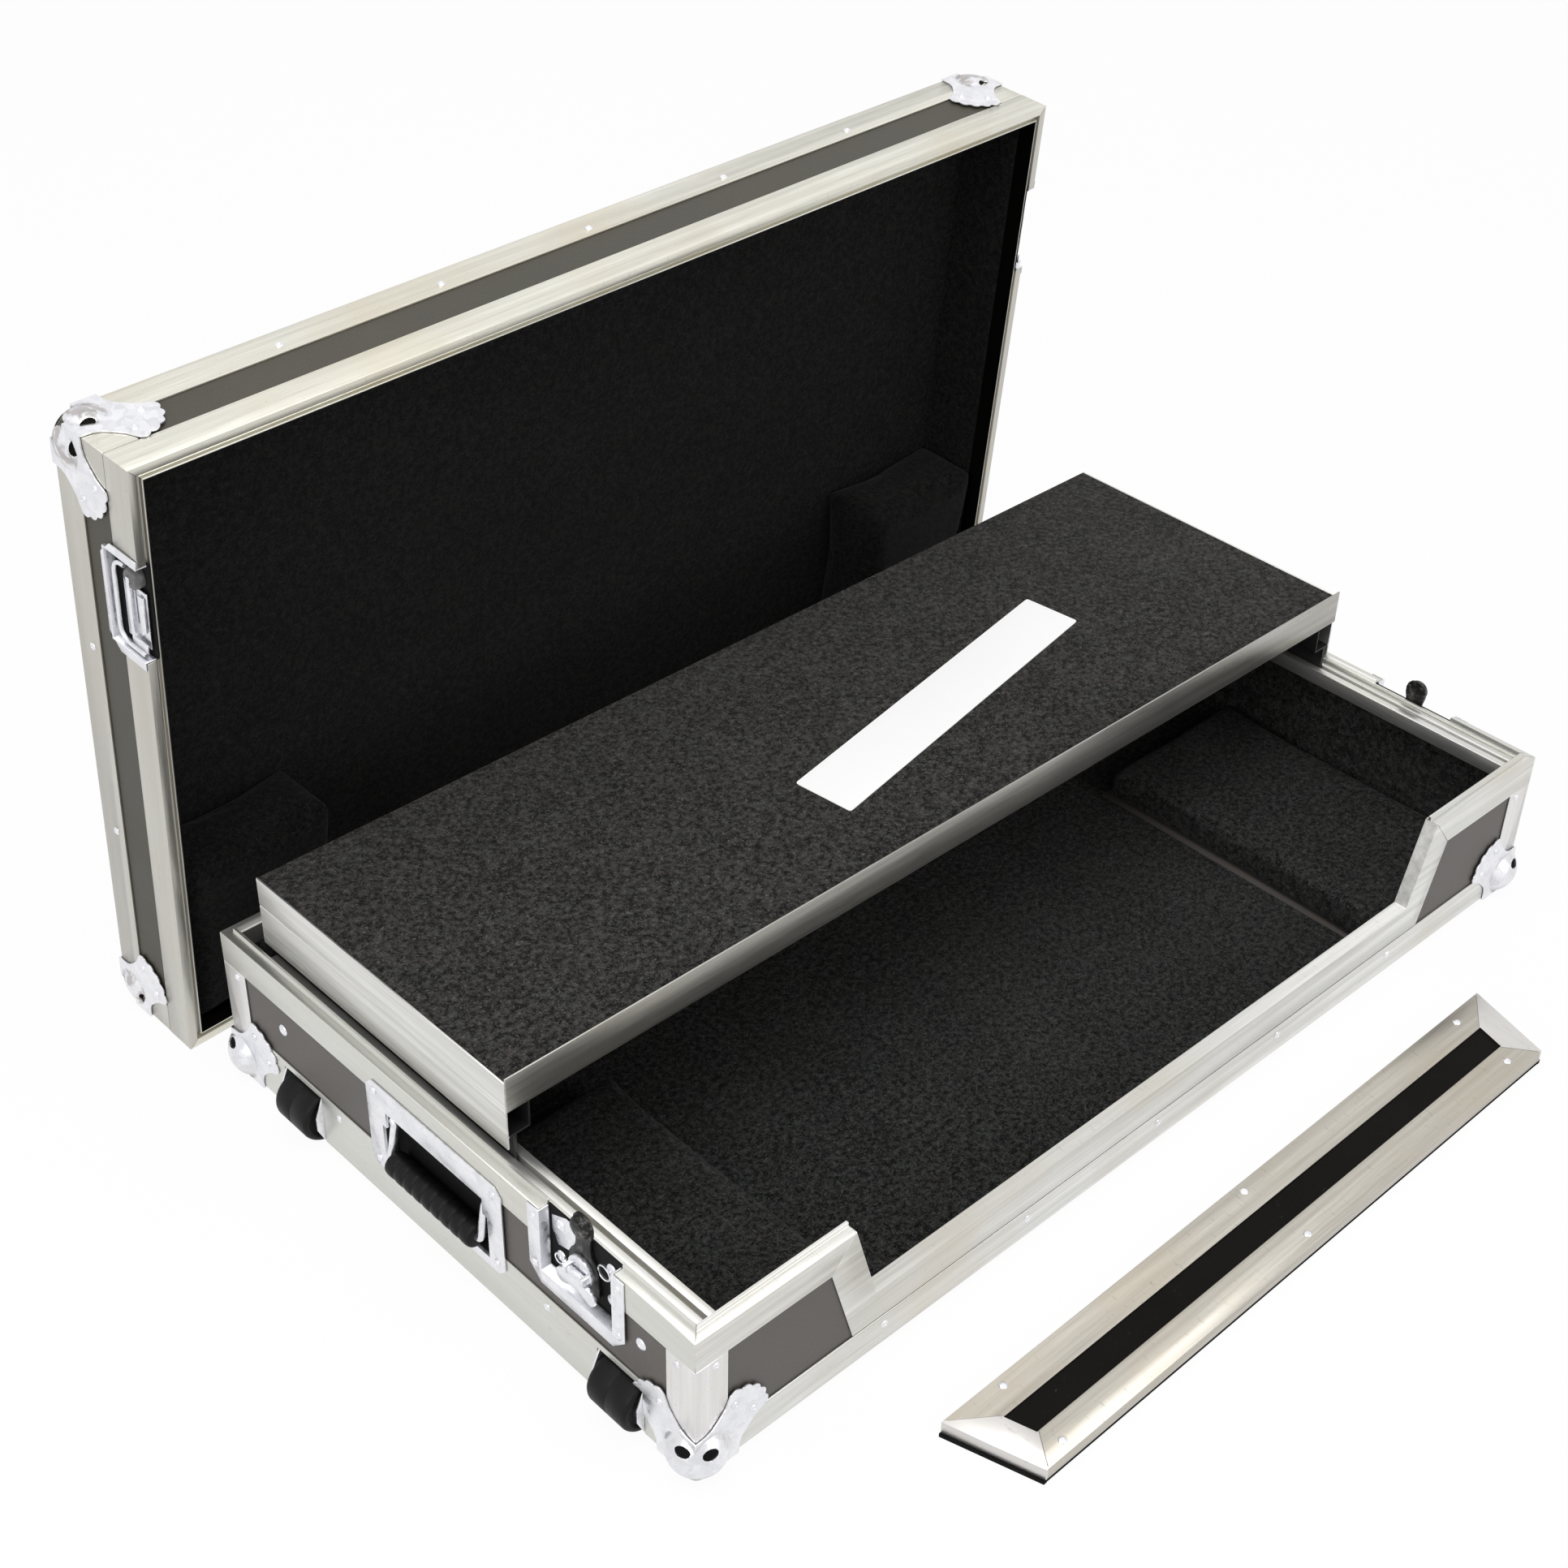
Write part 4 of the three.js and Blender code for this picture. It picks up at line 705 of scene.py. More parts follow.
# Hard parts that keep their shape, with their edges broken
def dress_hard_parts():
    outer = (BASE_PLACE, (WIDTH, DEPTH, BASE_HEIGHT), SHELL_ROUND)
    outer_lid = (LID_PLACE, (WIDTH, DEPTH, LID_HEIGHT), SHELL_ROUND)
    softened("base_bottom_edging", "base", "aluminium", ALUMINIUM_BASE, outer=outer)
    softened("base_rim", "base", "aluminium", ALUMINIUM_BASE, outer=outer)
    softened("front_cutout_trim", "base", "aluminium", ALUMINIUM_ALONG)
    for where, _, _ in CORNERS:
        name = "base_corner_angle_" + where
        softened(name, "base", "aluminium", ALUMINIUM_UPRIGHT, outer=outer)
    for side in ("left", "right"):
        softened(side + "_guide_rail", "base", "aluminium", ALUMINIUM_DEEP)
        softened(side + "_handle_dish", "base", "zinc_plated_steel", ZINC_SHADED_PANS)
        softened(side + "_latch_dish", "base", "zinc_plated_steel", ZINC_SHADED_PANS)
        softened(side + "_latch_cam", side + "_cam", "zinc_plated_steel", ZINC)
        softened(side + "_latch_wing", side + "_wing", "zinc_plated_steel", ZINC)
        softened(side + "_keeper_dish", "lid", "zinc_plated_steel", ZINC_SHADED_KEEPERS)
        softened(side + "_shelf_runner", "shelf", "aluminium", RUNNER, EDGE_FINE)
    softened("shelf_front_lip", "shelf", "aluminium", ALUMINIUM_LIP)
    softened("front_panel_trim", "front_panel", "aluminium", ALUMINIUM_PANEL)
    softened("lid_rim", "lid", "aluminium", ALUMINIUM_LID)
    softened("lid_edging", "lid", "aluminium", ALUMINIUM_LID, outer=outer_lid)
    for where in ("front", "rear"):
        softened(where + "_wheel_housing", "base", "zinc_plated_steel", ZINC, EDGE_FINE)


def dress_boards():
    """The parts whose own shape stays: they get their finish only."""
    base_walls = ["base_" + side + "_wall" for side in ("front", "back", "left", "right")]
    finishes = {
        LAMINATE: ("base_floor_board", *base_walls, "shelf_board"),
        LAMINATE_LID_SHADED: ("lid_top_panel", "lid_wall_frame"),
        LAMINATE_PANEL: ("front_panel_board",),
    }
    for material, names in finishes.items():
        for name in names:
            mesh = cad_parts[name].data
            mesh.materials.clear()
            mesh.materials.append(material)


# Ball corners: three scalloped wings on the faces, pressed in one with the ball over the tip.
# A wing's outline is in millimetres from the shell's corner
WING_BACK = -1.5
WING_FLANK = ((36.5, -1.5), (37.2, 8), (39.5, 13.5), (45, 19.5), (51, 24.8), (56.5, 27.4))
WING_MIDDLE = 32
WING_ROUND = 28.4
WING_SCALLOP = 2.0
WING_LOBES = 5
WING_START = -6
WING_SWEEP = 102
WING_STEPS = 60
WING_OUTER = -(PLATE + 0.1 * MM)
WING_INNER = -0.25 * MM
BALL_RADIUS = 22 * MM
BALL_ROOM = 50 * MM
TIP_RADIUS = 22.8 * MM
TIP_START = -5 * MM
BALL_HOLES = ((-0.81, -0.24, 0.54), (-0.2, -0.86, 0.47))
HOLE_SIZE = (5.8 * MM, 3.7 * MM)
HOLE_DEPTHS = (-1 * MM, 6 * MM)
# How deep under the ball's skin the dark plugs of painted shade sit
HOLE_SHADE_DEPTHS = (2.2 * MM, 4.6 * MM)
WHEEL_ROOM = ((-12 * MM, 50.2 * MM, -12 * MM), (31 * MM, 70 * MM, 43.3 * MM))
SKIN_VOXEL = 0.5 * MM
SKIN_ROUNDS = 3
SKIN_SHARE = 0.2


def wing_outline():
    """The outline of a wing on one face."""
    lobes = []
    for step in range(WING_STEPS + 1):
        turn = math.radians(WING_START + WING_SWEEP * step / WING_STEPS)
        reach = WING_ROUND + WING_SCALLOP * abs(math.sin(math.pi * WING_LOBES * step / WING_STEPS))
        lobes.append((WING_MIDDLE + reach * math.cos(turn), WING_MIDDLE + reach * math.sin(turn)))
    mirrored = [(y, x) for x, y in reversed(WING_FLANK)]
    return in_metres([(WING_BACK, WING_BACK), *WING_FLANK, *lobes, *mirrored])


def flat_form(name, outline, low, high):
    """A flat plate: a ring that is set on an outline and extruded from low to high."""
    deselect()
    bpy.ops.mesh.primitive_circle_add(vertices=len(outline), radius=1)
    plate = bpy.context.object
    for vertex, (x, y) in zip(plate.data.vertices, outline):
        vertex.co = (x, y, low)
    edit_all()
    bpy.ops.mesh.edge_face_add()
    bpy.ops.mesh.extrude_region_move(TRANSFORM_OT_translate={"value": (0, 0, high - low)})
    bpy.ops.mesh.select_all(action="SELECT")
    bpy.ops.mesh.normals_make_consistent(inside=False)
    bpy.ops.object.mode_set(mode="OBJECT")
    plate.name = name
    return plate


def block_form(low, high):
    deselect()
    middle = [(a + b) / 2 for a, b in zip(low, high)]
    size = [b - a for a, b in zip(low, high)]
    bpy.ops.mesh.primitive_cube_add(size=1, location=middle, scale=size)
    piece = bpy.context.object
    apply_place(piece)
    return piece


def carve(piece, tool, keep_tool=False, operation="DIFFERENCE"):
    """Cuts one closed shape out of another, or joins it on."""
    modifier = piece.modifiers.new("carve", "BOOLEAN")
    modifier.operation = operation
    modifier.solver = "EXACT"
    modifier.object = tool
    apply_modifiers(piece)
    if not keep_tool:
        remove(tool)


def melt_together(piece):
    """Melts joined shapes into one skin, softens its edges and thins its faces."""
    piece.data.remesh_voxel_size = SKIN_VOXEL
    pick(piece)
    bpy.ops.object.voxel_remesh()
    soft = piece.modifiers.new("soften", "SMOOTH")
    soft.iterations = SKIN_ROUNDS
    soft.factor = 0.5
    thin = piece.modifiers.new("thin", "DECIMATE")
    thin.ratio = SKIN_SHARE
    apply_modifiers(piece)
    smooth(piece, 40)


def ball_form(radius, middle):
    deselect()
    bpy.ops.mesh.primitive_uv_sphere_add(segments=64, ring_count=40, radius=radius, location=middle)
    ball = bpy.context.object
    apply_place(ball)
    return ball


def hole_form(hole, ball, depths):
    """A long round plug set into the ball, between two depths under its skin."""
    near, far = depths
    out = Vector(hole).normalized()
    deselect()
    bpy.ops.mesh.primitive_cylinder_add(vertices=40, radius=1, depth=far - near)
    plug = bpy.context.object
    plug.data.transform(Matrix.Diagonal((*HOLE_SIZE, 1, 1)))
    across = Vector((0, 0, 1)).cross(out).normalized()
    upward = out.cross(across)
    turn = Matrix((across, upward, out)).transposed().to_4x4()
    middle = Vector(ball) + out * (BALL_RADIUS - (near + far) / 2)
    plug.data.transform(Matrix.Translation(middle) @ turn)
    return plug


def ball_corner_form(middle, room=None):
    """The corner in its own frame: the shell's corner at the origin, the case on its plus side.

    middle is the middle of its ball, and room is the space that a wheel takes out of it."""
    wings = []
    for turn in (Matrix.Identity(4), ON_FRONT, ON_SIDE):
        wing = flat_form("wing", wing_outline(), WING_OUTER, WING_INNER)
        move_mesh(wing, turn)
        wings.append(wing)
    ball = ball_form(BALL_RADIUS, middle)
    carve(ball, block_form([WING_INNER] * 3, [BALL_ROOM] * 3))
    tip = block_form([TIP_START] * 3, middle)
    carve(tip, ball_form(TIP_RADIUS, middle))
    for wing in wings:
        carve(wing, tip, keep_tool=True)
        carve(ball, wing, operation="UNION")
    remove(tip)
    for hole in BALL_HOLES:
        carve(ball, hole_form(hole, middle, HOLE_DEPTHS))
    if room:
        carve(ball, block_form(*room))
    melt_together(ball)
    return ball


def make_ball_corners():
    beside_wheel = ball_corner_form(BASE_BALL, WHEEL_ROOM)
    boxes = (
        ("base", BASE_PLACE, 0, BASE_BALL, ZINC_BASE_CORNERS),
        ("lid", LID_PLACE, LID_HEIGHT, LID_BALL, ZINC_LID_CORNERS),
    )
    for box, place, top, middle, zinc in boxes:
        corner = ball_corner_form(middle)
        # Dark plugs in the balls' holes are painted shade: they make the holes read deep and dark
        plug = joined([hole_form(hole, middle, HOLE_SHADE_DEPTHS) for hole in BALL_HOLES], "ball_hole_shades")
        hole_shades = []
        for where, sx, sy in CORNERS:
            at = (0 if sx > 0 else WIDTH, 0 if sy > 0 else DEPTH, top)
            stand = place @ Matrix.Translation(at) @ Matrix.Diagonal((sx, sy, -1 if top else 1, 1))
            node = box + "_ball_corner_" + where
            form = beside_wheel if node == "base_ball_corner_front_left" else corner
            piece = copy_of(form, node + "_pressed", stand)
            finish(piece, box, "zinc_plated_steel", zinc, node)
            hole_shades.append(copy_of(plug, "plug", stand))
        finish(joined(hole_shades, box + "_ball_corner_hole_shades"), box, "dark_steel", FOAM)
        remove(corner, plug)
    remove(beside_wheel)


# Handles: bent bails and ribbed grips, as they hang in their pans
HANDLE_PIVOT = Vector((4 * MM, 271.003 * MM, 85 * MM))
BAIL_ROD = 3.3 * MM
BAIL_BEND = 4.5 * MM
BAIL_ARM = 33.5 * MM
BAIL_ARM_Y = 51.7 * MM
BAIL_END_Y = 58 * MM
BAIL_LEAN = math.pi * 0.057
GRIP_HALF = 48.2 * MM
GRIP_RADIUS = 9.9 * MM
GRIP_RIBS = 9
GROOVE_DEPTH = 0.7 * MM
GROOVE_EXTRA = 0.2 * MM
COLLAR_RADIUS = 8.6 * MM
COLLAR_SWELL = 0.6 * MM
COLLAR_STEP = 0.5 * MM
RIB_SHARES = ((0.1, 0.9), (0.16, 0.35), (0.28, 0.08), (0.5, 0), (0.72, 0.08), (0.84, 0.35), (0.9, 0.9))


def rounded_path(corners, radius, steps=8):
    """Points along straight runs whose corners are arcs."""
    path = [Vector(corners[0])]
    for before, corner, after in zip(corners, corners[1:], corners[2:]):
        before, corner, after = Vector(before), Vector(corner), Vector(after)
        start = corner + (before - corner).normalized() * radius
        end = corner + (after - corner).normalized() * radius
        for step in range(steps + 1):
            share = step / steps
            path.append(start.lerp(corner, share).lerp(corner.lerp(end, share), share))
    path.append(Vector(corners[-1]))
    return path


def bent_rod(name, path, radius):
    """A round rod along a path."""
    deselect()
    line = bpy.data.curves.new(name, "CURVE")
    line.dimensions = "3D"
    line.bevel_depth = radius
    line.bevel_resolution = 6
    line.use_fill_caps = True
    spline = line.splines.new("POLY")
    spline.points.add(len(path) - 1)
    for point, place in zip(spline.points, path):
        point.co = (*place, 1)
    rod = bpy.data.objects.new(name, line)
    bpy.context.scene.collection.objects.link(rod)
    pick(rod)
    bpy.ops.object.convert(target="MESH")
    rod = bpy.context.object
    merge_points(rod, JOIN_REACH, outward=True)
    smooth(rod, 50)
    return rod


def grip_form():
    """The grip about Z: round ribs with narrow grooves between, and a collar at each end."""
    pitch = 2 * GRIP_HALF / GRIP_RIBS
    groove = GRIP_RADIUS - GROOVE_DEPTH
    swell = COLLAR_RADIUS + COLLAR_SWELL
    profile = [(BAIL_ROD, -GRIP_HALF), (COLLAR_RADIUS, -GRIP_HALF), (swell, -GRIP_HALF + COLLAR_STEP)]
    for rib in range(GRIP_RIBS):
        start = -GRIP_HALF + rib * pitch
        for share, sunk in RIB_SHARES:
            profile.append((GRIP_RADIUS - (GRIP_RADIUS - groove) * sunk, start + pitch * share))
        if rib < GRIP_RIBS - 1:
            profile.append((groove - GROOVE_EXTRA, start + pitch))
    profile += [(swell, GRIP_HALF - COLLAR_STEP), (COLLAR_RADIUS, GRIP_HALF), (BAIL_ROD, GRIP_HALF)]
    return turned_form("grip", profile, 40)


def make_handles():
    half = [(0, BAIL_ARM_Y, -BAIL_ARM), (0, BAIL_ARM_Y, 0), (0, BAIL_END_Y, 0)]
    corners = [(x, -y, z) for x, y, z in reversed(half)] + half
    bail = bent_rod("bail", rounded_path(corners, BAIL_BEND), BAIL_ROD)
    grip = grip_form()
    grip.data.transform(Matrix.Translation((0, 0, -BAIL_ARM)) @ Matrix.Rotation(math.pi / 2, 4, "X"))
    hang = Matrix.Translation(HANDLE_PIVOT) @ Matrix.Rotation(BAIL_LEAN, 4, "Y")
    for side, turn in SIDES:
        place = BASE_PLACE @ turn @ hang
        bar = copy_of(bail, side + "_bent_bail", place)
        finish(bar, side + "_handle", "zinc_plated_steel", ZINC, side + "_handle_bail")
        ribbed = copy_of(grip, side + "_ribbed_grip", place)
        finish(ribbed, side + "_handle", "rubber", RUBBER, side + "_handle_grip")
    remove(bail, grip)


# Latch hooks: a carriage behind the cam that narrows to a claw with a turned lip.
# Half of its outline is in millimetres from its middle and up, the lip's profile in millimetres
HOOK_Y = 116
HOOK_HALF = (
    (15, 84.8), (15, 107), (12.5, 112), (8.5, 117), (7.5, 123), (8, 131), (9.5, 137), (9.6, 142),
    (8.4, 146), (5.8, 148.8), (2.4, 149.9),
)
HOOK_DEPTHS = (5.8 * MM, 8.2 * MM)
HOOK_EDGE = 0.5 * MM
LIP_HEIGHT = 140.6
LIP_PROFILE = ((0, 0.9), (5, 0.9), (7.4, 1.6), (8.6, 3.2), (8.8, 7), (0, 7))


def make_hooks():
    near = [(HOOK_Y + y, z) for y, z in HOOK_HALF]
    far = [(HOOK_Y - y, z) for y, z in reversed(HOOK_HALF)]
    plate = flat_form("hook", in_metres(near + far), *HOOK_DEPTHS)
    move_mesh(plate, ON_SIDE)
    lip = turned_form("lip", in_metres(LIP_PROFILE), 32)
    middle = Matrix.Translation((0, HOOK_Y * MM, LIP_HEIGHT * MM))
    lip.data.transform(middle @ Matrix.Rotation(math.pi / 2, 4, "Y"))
    carve(plate, lip, operation="UNION")
    round_edges(plate, HOOK_EDGE, 3, 40)
    smooth(plate, 40)
    for side, turn in SIDES:
        hook = copy_of(plate, side + "_claw_hook", BASE_PLACE @ turn)
        finish(hook, side + "_hook", "dark_steel", SHADED_STEEL, side + "_latch_hook")
    remove(plate)


# Wheels: a rubber tyre with rounded shoulders on a plain hub. Profiles are in millimetres
WHEEL_AXIS = (7 * MM, 19 * MM)
WHEEL_PLACES = (("front", 74 * MM), ("rear", 438 * MM))
WHEEL_RADIUS = 21.9 * MM
WHEEL_HALF = 19.9 * MM
SHOULDER_WIDTH = 3.4 * MM
SHOULDER = (
    (11.4, -17.4), (15, -17.6), (16.2, -18.6), (17.4, -19.6), (19, -19.9), (20.6, -19.2), (21.5, -17.8),
)
LINE_DEPTH = 0.3 * MM
LINE_TOP = 0.9 * MM
LINE_FOOT = 0.4 * MM
HUB_END = ((4.35, -18.6), (7, -18.6), (7.6, -17.4), (11.3, -16.9))


def closed_profile(lower):
    """A closed profile from its lower half, which the upper half mirrors."""
    return lower + [(radius, -height) for radius, height in reversed(lower)] + lower[:1]


def make_wheels():
    foot = WHEEL_RADIUS - LINE_DEPTH
    tread = [(WHEEL_RADIUS, -WHEEL_HALF + SHOULDER_WIDTH), (WHEEL_RADIUS, -LINE_TOP), (foot, -LINE_FOOT)]
    rubber = turned_form("tyre", closed_profile(in_metres(SHOULDER) + tread), 64)
    hub = turned_form("hub", closed_profile(in_metres(HUB_END)), 48)
    lying = Matrix.Rotation(math.pi / 2, 4, "X")
    for side, y in WHEEL_PLACES:
        place = BASE_PLACE @ Matrix.Translation((WHEEL_AXIS[0], y, WHEEL_AXIS[1])) @ lying
        body = side + "_wheel_body"
        finish(copy_of(rubber, side + "_tyre", place), body, "rubber", RUBBER, side + "_wheel")
        finish(copy_of(hub, side + "_wheel_hub", place), body, "rubber", HUB)
    remove(rubber, hub)


# Pads and blocks: foam under carpet, swollen a little by the cloth's own pressure
PAD_TUCK = 2.2 * MM
PAD_VOXEL = 6 * MM
PAD_SWELL = 5 * MM
PAD_STEPS = 20


def swell_cloth(piece):
    """Swells a cover by the pressure inside it, up to a limit."""
    rest = [vertex.co.copy() for vertex in piece.data.vertices]
    swell = piece.modifiers.new("swell", "CLOTH")
    swell.settings.quality = 5
    swell.settings.use_pressure = True
    swell.settings.uniform_pressure_force = 4
    swell.settings.tension_stiffness = 15
    swell.settings.bending_stiffness = 0.6
    swell.settings.effector_weights.gravity = 0
    for step in range(1, PAD_STEPS + 1):
        bpy.context.scene.frame_set(step)
    apply_modifiers(piece)
    bpy.context.scene.frame_set(1)
    for vertex, home in zip(piece.data.vertices, rest):
        shift = vertex.co - home
        if shift.length > PAD_SWELL:
            vertex.co = home + shift.normalized() * PAD_SWELL


def foam_block(name, node, body, place, felt):
    """A block of foam in a carpet cover: slack faces crowned, corners pulled in, flat where glued on."""
    piece = copy_of(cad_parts[node], name, place.inverted())
    merge_points(piece, COPY_REACH)
    ends = [vertex.co.copy() for vertex in piece.data.vertices]
    low = Vector([min(end[axis] for end in ends) for axis in range(3)])
    high = Vector([max(end[axis] for end in ends) for axis in range(3)])
    middle = (low + high) / 2
    for vertex in piece.data.vertices:
        for axis in range(3):
            vertex.co[axis] += PAD_TUCK if vertex.co[axis] < middle[axis] else -PAD_TUCK
    piece.data.remesh_voxel_size = PAD_VOXEL
    pick(piece)
    bpy.ops.object.voxel_remesh()
    soft = piece.modifiers.new("soften", "SMOOTH")
    soft.iterations = 3
    apply_modifiers(piece)
    swell_cloth(piece)
    for vertex in piece.data.vertices:
        for axis in range(3):
            vertex.co[axis] = min(max(vertex.co[axis], low[axis]), high[axis])
    finer = piece.modifiers.new("finer", "SUBSURF")
    finer.levels = 1
    finer.render_levels = 1
    apply_modifiers(piece)
    move_mesh(piece, place)
    smooth(piece, 80)
    finish(piece, body, "carpeted_foam", felt, node)


def make_pads():
    for side in ("left", "right"):
        foam_block(side + "_pad_cover", side + "_tray_pad", "base", BASE_PLACE, FELT_TRAY)
        foam_block(side + "_block_cover", side + "_lid_block", "lid", LID_PLACE, FELT_LID_SHADED)


# Linings and seals keep their place, with soft edges; the seals at the panel's ends are pressed thin
SEAL_SHARE = 0.35
SEAL_HEIGHT_SHARE = 0.6


def make_linings():
    softened("tray_carpet", "base", "carpet", FELT_TRAY, EDGE_CARPET)
    softened("shelf_carpet", "shelf", "carpet", FELT_SHELF, EDGE_SHELF)
    softened("lid_carpet", "lid", "carpet", FELT_LID_SHADED, EDGE_CARPET)
    seal = softened("front_panel_seal", "front_panel", "foam", FOAM, EDGE_FOAM)
    back = PANEL_PLACE.inverted()
    for vertex in seal.data.vertices:
        x, y, z = back @ vertex.co
        end = PANEL_SHAPE[2] + PANEL_SHAPE[4] * y
        if abs(x) > end - 2 * METAL:
            stand = max(0, abs(x) - end)
            x = math.copysign(abs(x) - stand * (1 - SEAL_SHARE), x)
            vertex.co = PANEL_PLACE @ Vector((x, y, z * SEAL_HEIGHT_SHARE))


# Fasteners: domed blind rivets in two sizes, each (radius, height, share of its dimple)
SMALL_RIVET = (3.2 * MM, 1.1 * MM, 0.3)
LARGE_RIVET = (4.8 * MM, 1.6 * MM, 0.26)
RIVET_FOOT = -0.4 * MM
RIVET_EDGE = 0.1 * MM
DOME_SHARES = ((0.93, 0.5), (0.7, 0.85), (0.4, 1))

# Where they sit, in millimetres from a box's front left corner
WIDE, DEEP, HIGH = WIDTH / MM, DEPTH / MM, LID_HEIGHT / MM
RIVET_ROW = [172 + 145 * step for step in range(5)]
EDGING_RIVET = 18
RIM_RIVET = 117
BASE_SIDE_RIVETS = ((150, 40), (392, 40))
LID_SIDE_RIVETS = (180, 352)
ANGLE_RIVET = (17.6, 97.7)
EAR_FACE = -1.5
EAR_RIVETS = ((203, 41), (203, 107), (339, 41), (339, 107), (73, 78), (73, 122), (159, 78), (159, 122))
WING_FACE = 1.6
WING_RIVETS = ((49, 33), (33, 49))
UNDER_WHEEL = (-1.6, 49, 33)
PAN_FLOOR = 8.5
PAN_RIVETS = ((90, 119), (90, 90), (142, 119), (142, 90))
SIDE_DOMES = ((1.5, 458.7, 81.3), (1.5, 53.8, 84.6))
PANEL_RIVETS = ((-263, 66), (-268, 9), (273, 64.5), (263.5, 12), (0, 66), (0, 9))
TO_LEFT, TO_FRONT, TO_REAR, UPWARD = (-1, 0, 0), (0, -1, 0), (0, 1, 0), (0, 0, 1)


def rivet_form(radius, height, hole):
    """A blind rivet's head about Z, with the small dimple that its pin leaves."""
    foot = [(radius * 0.96, RIVET_FOOT), (radius, RIVET_EDGE)]
    dome = [(radius * across, height * up) for across, up in DOME_SHARES]
    dimple = [(radius * hole, height), (radius * hole * 0.8, height * 0.6), (0, height * 0.55)]
    return turned_form("rivet", foot + dome + dimple, 20)


def facing(point, out):
    """The place of a fastener: its foot on a point of the case's frame, its head pointing out."""
    turn = Vector(out).to_track_quat("Z", "Y").to_matrix().to_4x4()
    return Matrix.Translation(Vector(point) * MM) @ turn


def fastened(name, body, form, place, spots):
    pieces = [copy_of(form, "head", place @ facing(point, out)) for point, out in spots]
    finish(joined(pieces, name), body, "zinc_plated_steel", ZINC)


def mirror_spots(spots):
    return spots + [((WIDE - x, y, z), (-out[0], out[1], out[2])) for (x, y, z), out in spots]


def wing_spots():
    """Two rivets in each of the two upright wings of a corner."""
    spots = []
    for _, sx, sy in CORNERS:
        x = 0 if sx > 0 else WIDE
        y = 0 if sy > 0 else DEEP
        for along, up in WING_RIVETS:
            spots.append(((x - WING_FACE * sx, y + sy * along, up), (-sx, 0, 0)))
            spots.append(((x + sx * along, y - WING_FACE * sy, up), (0, -sy, 0)))
    return spots


def make_fasteners():
    small, large = rivet_form(*SMALL_RIVET), rivet_form(*LARGE_RIVET)
    wings = wing_spots()

    spots = [((x, 0, EDGING_RIVET), TO_FRONT) for x in RIVET_ROW]
    spots += [((x, DEEP, z), TO_REAR) for z in (EDGING_RIVET, RIM_RIVET) for x in RIVET_ROW]
    inset, up = ANGLE_RIVET
    mirrored = [((0, y, z), TO_LEFT) for y, z in BASE_SIDE_RIVETS]
    mirrored += [((0, inset, up), TO_LEFT), ((0, DEEP - inset, up), TO_LEFT)]
    mirrored += [((inset, 0, up), TO_FRONT), ((inset, DEEP, up), TO_REAR)]
    mirrored += [((EAR_FACE, y, z), TO_LEFT) for y, z in EAR_RIVETS]
    spots += mirror_spots(mirrored) + [spot for spot in wings if spot[0] != UNDER_WHEEL]
    fastened("base_rivets", "base", small, BASE_PLACE, spots)
    floor = [((PAN_FLOOR, y, z), TO_LEFT) for y, z in PAN_RIVETS]
    fastened("pan_rivets", "base", large, BASE_PLACE, mirror_spots(floor))
    domes = [(point, TO_LEFT) for point in SIDE_DOMES]
    fastened("base_domes", "base", large, BASE_PLACE, mirror_spots(domes))

    near_top = HIGH - EDGING_RIVET
    spots = [((x, y, near_top), out) for y, out in ((0, TO_FRONT), (DEEP, TO_REAR)) for x in RIVET_ROW]
    spots += [((x, y, HIGH), UPWARD) for x in RIVET_ROW for y in (EDGING_RIVET, DEEP - EDGING_RIVET)]
    spots += mirror_spots([((0, y, near_top), TO_LEFT) for y in LID_SIDE_RIVETS])
    spots += [((x, y, HIGH - z), out) for (x, y, z), out in wings]
    fastened("lid_rivets", "lid", small, LID_PLACE, spots)
    spots = [((x, y, PANEL_TOP / MM), UPWARD) for x, y in PANEL_RIVETS]
    fastened("panel_rivets", "front_panel", small, PANEL_PLACE, spots)
    remove(small, large)


# What lies in the pans of the left side: plates on the floor, a sprung wire loop, a round knob and rings.
# Plates are (near, far, outline): millimetres in from the side, and along and up it
LATCH_PLATE = (
    8.25, 8.8, ((151, 110), (151, 123), (136, 130), (118, 130), (122, 119), (134, 102), (145, 99)),
)
KEEPER_PLATES = (
    (5.6, 6.6, ((101, 28.5), (101, 2), (147, 2), (147, 28.5))),
    (3.4, 4.6, ((104, 10), (104, 3), (133, 3), (138, 9))),
    (2.6, 3.8, ((142.5, 20), (142.5, 2), (150, 2), (150, 20))),
)
PLATE_EDGE = 0.3 * MM

# Rings are (along, up, radius)
LATCH_RINGS = ((97, 111, 6.5), (144, 87, 4.6), (131, 90, 3.2))
RING_WALL = 1.3 * MM
RING_SHOULDER = 1.2 * MM
RING_TOP = 1.7 * MM

KEEPER_LOOP = ((1.2, 84, 18), (1.2, 84, 31.5), (1.2, 150, 31.5), (1.2, 150, 2))
LOOP_BEND = 12 * MM
LOOP_ROD = 1.7 * MM
KNOB_PROFILE = ((0, 5.6), (3, 5.8), (3.6, 6.6), (6.8, 6.4), (8.2, 5), (8.6, 2), (8.6, -1), (0, -1))
KNOB_PLACE = (7.4, 92.5, 13.5)


def pan_plate(near, far, outline):
    plate = flat_form("plate", in_metres(outline), near * MM, far * MM)
    move_mesh(plate, ON_SIDE)
    round_edges(plate, PLATE_EDGE, 2, 30)
    smooth(plate, 40)
    return plate


def set_on_side(form, place):
    """Moves a turned form to a place on the left side, with its top pointing out."""
    form.data.transform(Matrix.Translation(Vector(place) * MM) @ Matrix.Rotation(-math.pi / 2, 4, "Y"))
    return form


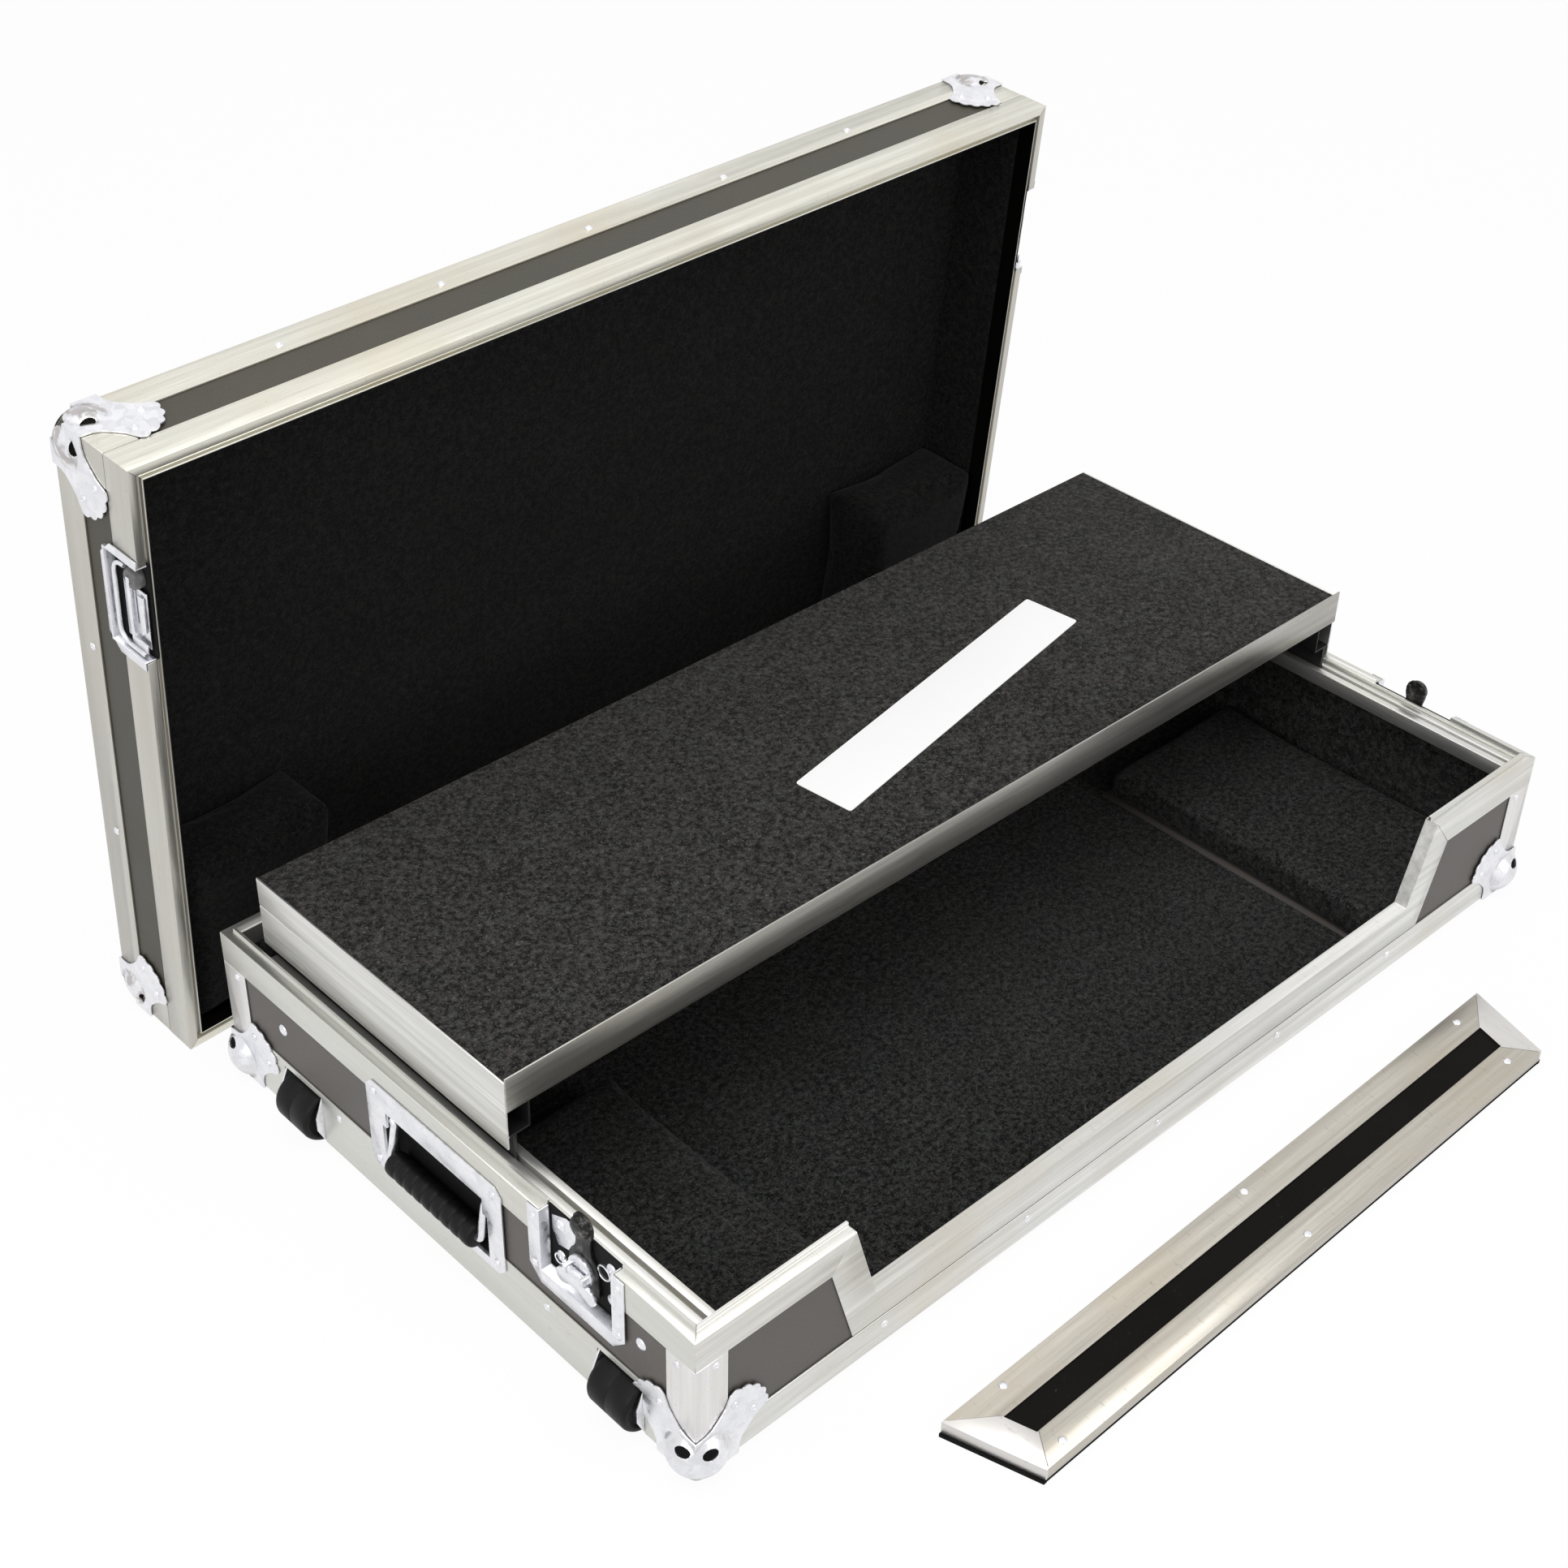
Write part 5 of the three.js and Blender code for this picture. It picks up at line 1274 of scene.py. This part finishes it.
def pan_ring(y, z, radius):
    outer = radius * MM
    inner = outer - RING_WALL
    profile = [
        (inner, 0), (outer, 0), (outer, RING_SHOULDER), (outer - RING_WALL / 2, RING_TOP),
        (inner, RING_SHOULDER), (inner, 0),
    ]
    return set_on_side(turned_form("ring", profile, 32), (PAN_FLOOR, y, z))


def make_pan_insides():
    loop = bent_rod("loop", rounded_path(in_metres(KEEPER_LOOP), LOOP_BEND), LOOP_ROD)
    plates = [pan_plate(*plate) for plate in KEEPER_PLATES]
    knob = set_on_side(turned_form("knob", in_metres(KNOB_PROFILE), 40), KNOB_PLACE)
    keeper = joined([loop, *plates], "keeper")
    latch = joined([pan_plate(*LATCH_PLATE)] + [pan_ring(*ring) for ring in LATCH_RINGS], "latch")
    for side, turn in SIDES:
        finish(copy_of(keeper, side + "_keeper_plates", LID_PLACE @ turn), "lid", "zinc_plated_steel", ZINC)
        finish(copy_of(knob, side + "_keeper_knob", LID_PLACE @ turn), "lid", "dark_steel", KNOB)
        finish(copy_of(latch, side + "_latch_plates", BASE_PLACE @ turn), "base", "zinc_plated_steel", ZINC)
    remove(keeper, knob, latch)


# The bare write-on strip on the shelf, in millimetres from the base's front left corner
STRIP_CORNERS = ((382.8, 316.8), (711.5, 377.3), (717.6, 325.8), (389.1, 263.1))
STRIP_ROUND = 3
STRIP_STEPS = 5
STRIP_SUNK = 0.3 * MM
STRIP_STAND = 0.5 * MM


def make_strip():
    corners = [(x, y, 0) for x, y in STRIP_CORNERS + STRIP_CORNERS[:2]]
    ring = rounded_path(corners, STRIP_ROUND, STRIP_STEPS)[1:-1]
    outline = in_metres([(x, y) for x, y, _ in reversed(ring)])
    strip = flat_form("bare_strip", outline, SHELF_TOP - STRIP_SUNK, SHELF_TOP + STRIP_STAND)
    move_mesh(strip, BASE_PLACE)
    finish(strip, "shelf", "carpet", STRIP)


# Floor, world and lamps. A lamp is (name, place, height that it aims at, size, power)
FLOOR_SIZE = 14
FLOOR_DROP = 0.4 * MM
LAMPS = (
    ("overhead softbox", (-0.4, -0.2, 2.6), 0.1, 2.0, 30),
    ("left softbox", (-2.4, -0.6, 1.3), 0.2, 1.2, 14),
    ("front softbox", (0.6, -2.6, 1.2), 0.2, 1.2, 14),
)


def glow_where_seen(point, share):
    """How much of a surface is plain white to the camera, in metal and through glass."""
    kinds = ("Is Camera Ray", "Is Glossy Ray", "Is Transmission Ray")
    camera, glossy, through = [point.node("ShaderNodeLightPath", output=kind) for kind in kinds]
    seen = point.maths("MAXIMUM", point.maths("MAXIMUM", camera, glossy), through)
    return seen * share


def set_floor():
    deselect()
    bpy.ops.mesh.primitive_plane_add(size=FLOOR_SIZE, location=(0, 0, -FLOOR_DROP))
    floor = bpy.context.object
    floor.name = "studio_floor"
    material, point = start_material("white studio floor")
    shade = tint(noise(point, 2, 2), (0.90, 0.90, 0.90, 1), (0.93, 0.93, 0.93, 1))
    matt = point.node("ShaderNodeBsdfDiffuse", inputs={"Color": shade})
    light = point.node("ShaderNodeEmission", inputs={"Color": (1, 1, 1, 1), "Strength": 1.0})
    mixed = point.node("ShaderNodeMixShader", inputs={0: glow_where_seen(point, 0.95), 1: matt, 2: light})
    point.node("ShaderNodeOutputMaterial", inputs={"Surface": mixed})
    floor.data.materials.append(material)


def set_world():
    world = bpy.data.worlds.new("white studio")
    bpy.context.scene.world = world
    world.use_nodes = True
    world.node_tree.nodes.clear()
    point = Wire(world.node_tree)
    dim = point.node("ShaderNodeBackground", inputs={"Color": (1, 1, 1, 1), "Strength": 0.55})
    white = point.node("ShaderNodeBackground", inputs={"Color": (1, 1, 1, 1), "Strength": 1.0})
    mixed = point.node("ShaderNodeMixShader", inputs={0: glow_where_seen(point, 1.0), 1: dim, 2: white})
    point.node("ShaderNodeOutputWorld", inputs={"Surface": mixed})


def add_lamp(name, place, aim_height, size, power):
    deselect()
    bpy.ops.object.light_add(type="AREA", location=place)
    lamp = bpy.context.object
    lamp.name = name
    lamp.data.size = size
    lamp.data.energy = power
    aim = Vector((0, 0, aim_height)) - Vector(place)
    lamp.rotation_euler = aim.to_track_quat("-Z", "Y").to_euler()


def set_stage():
    set_floor()
    set_world()
    for lamp in LAMPS:
        add_lamp(*lamp)


dress_hard_parts()
dress_boards()
make_ball_corners()
make_handles()
make_hooks()
make_wheels()
make_pads()
make_linings()
make_fasteners()
make_pan_insides()
make_strip()
set_stage()
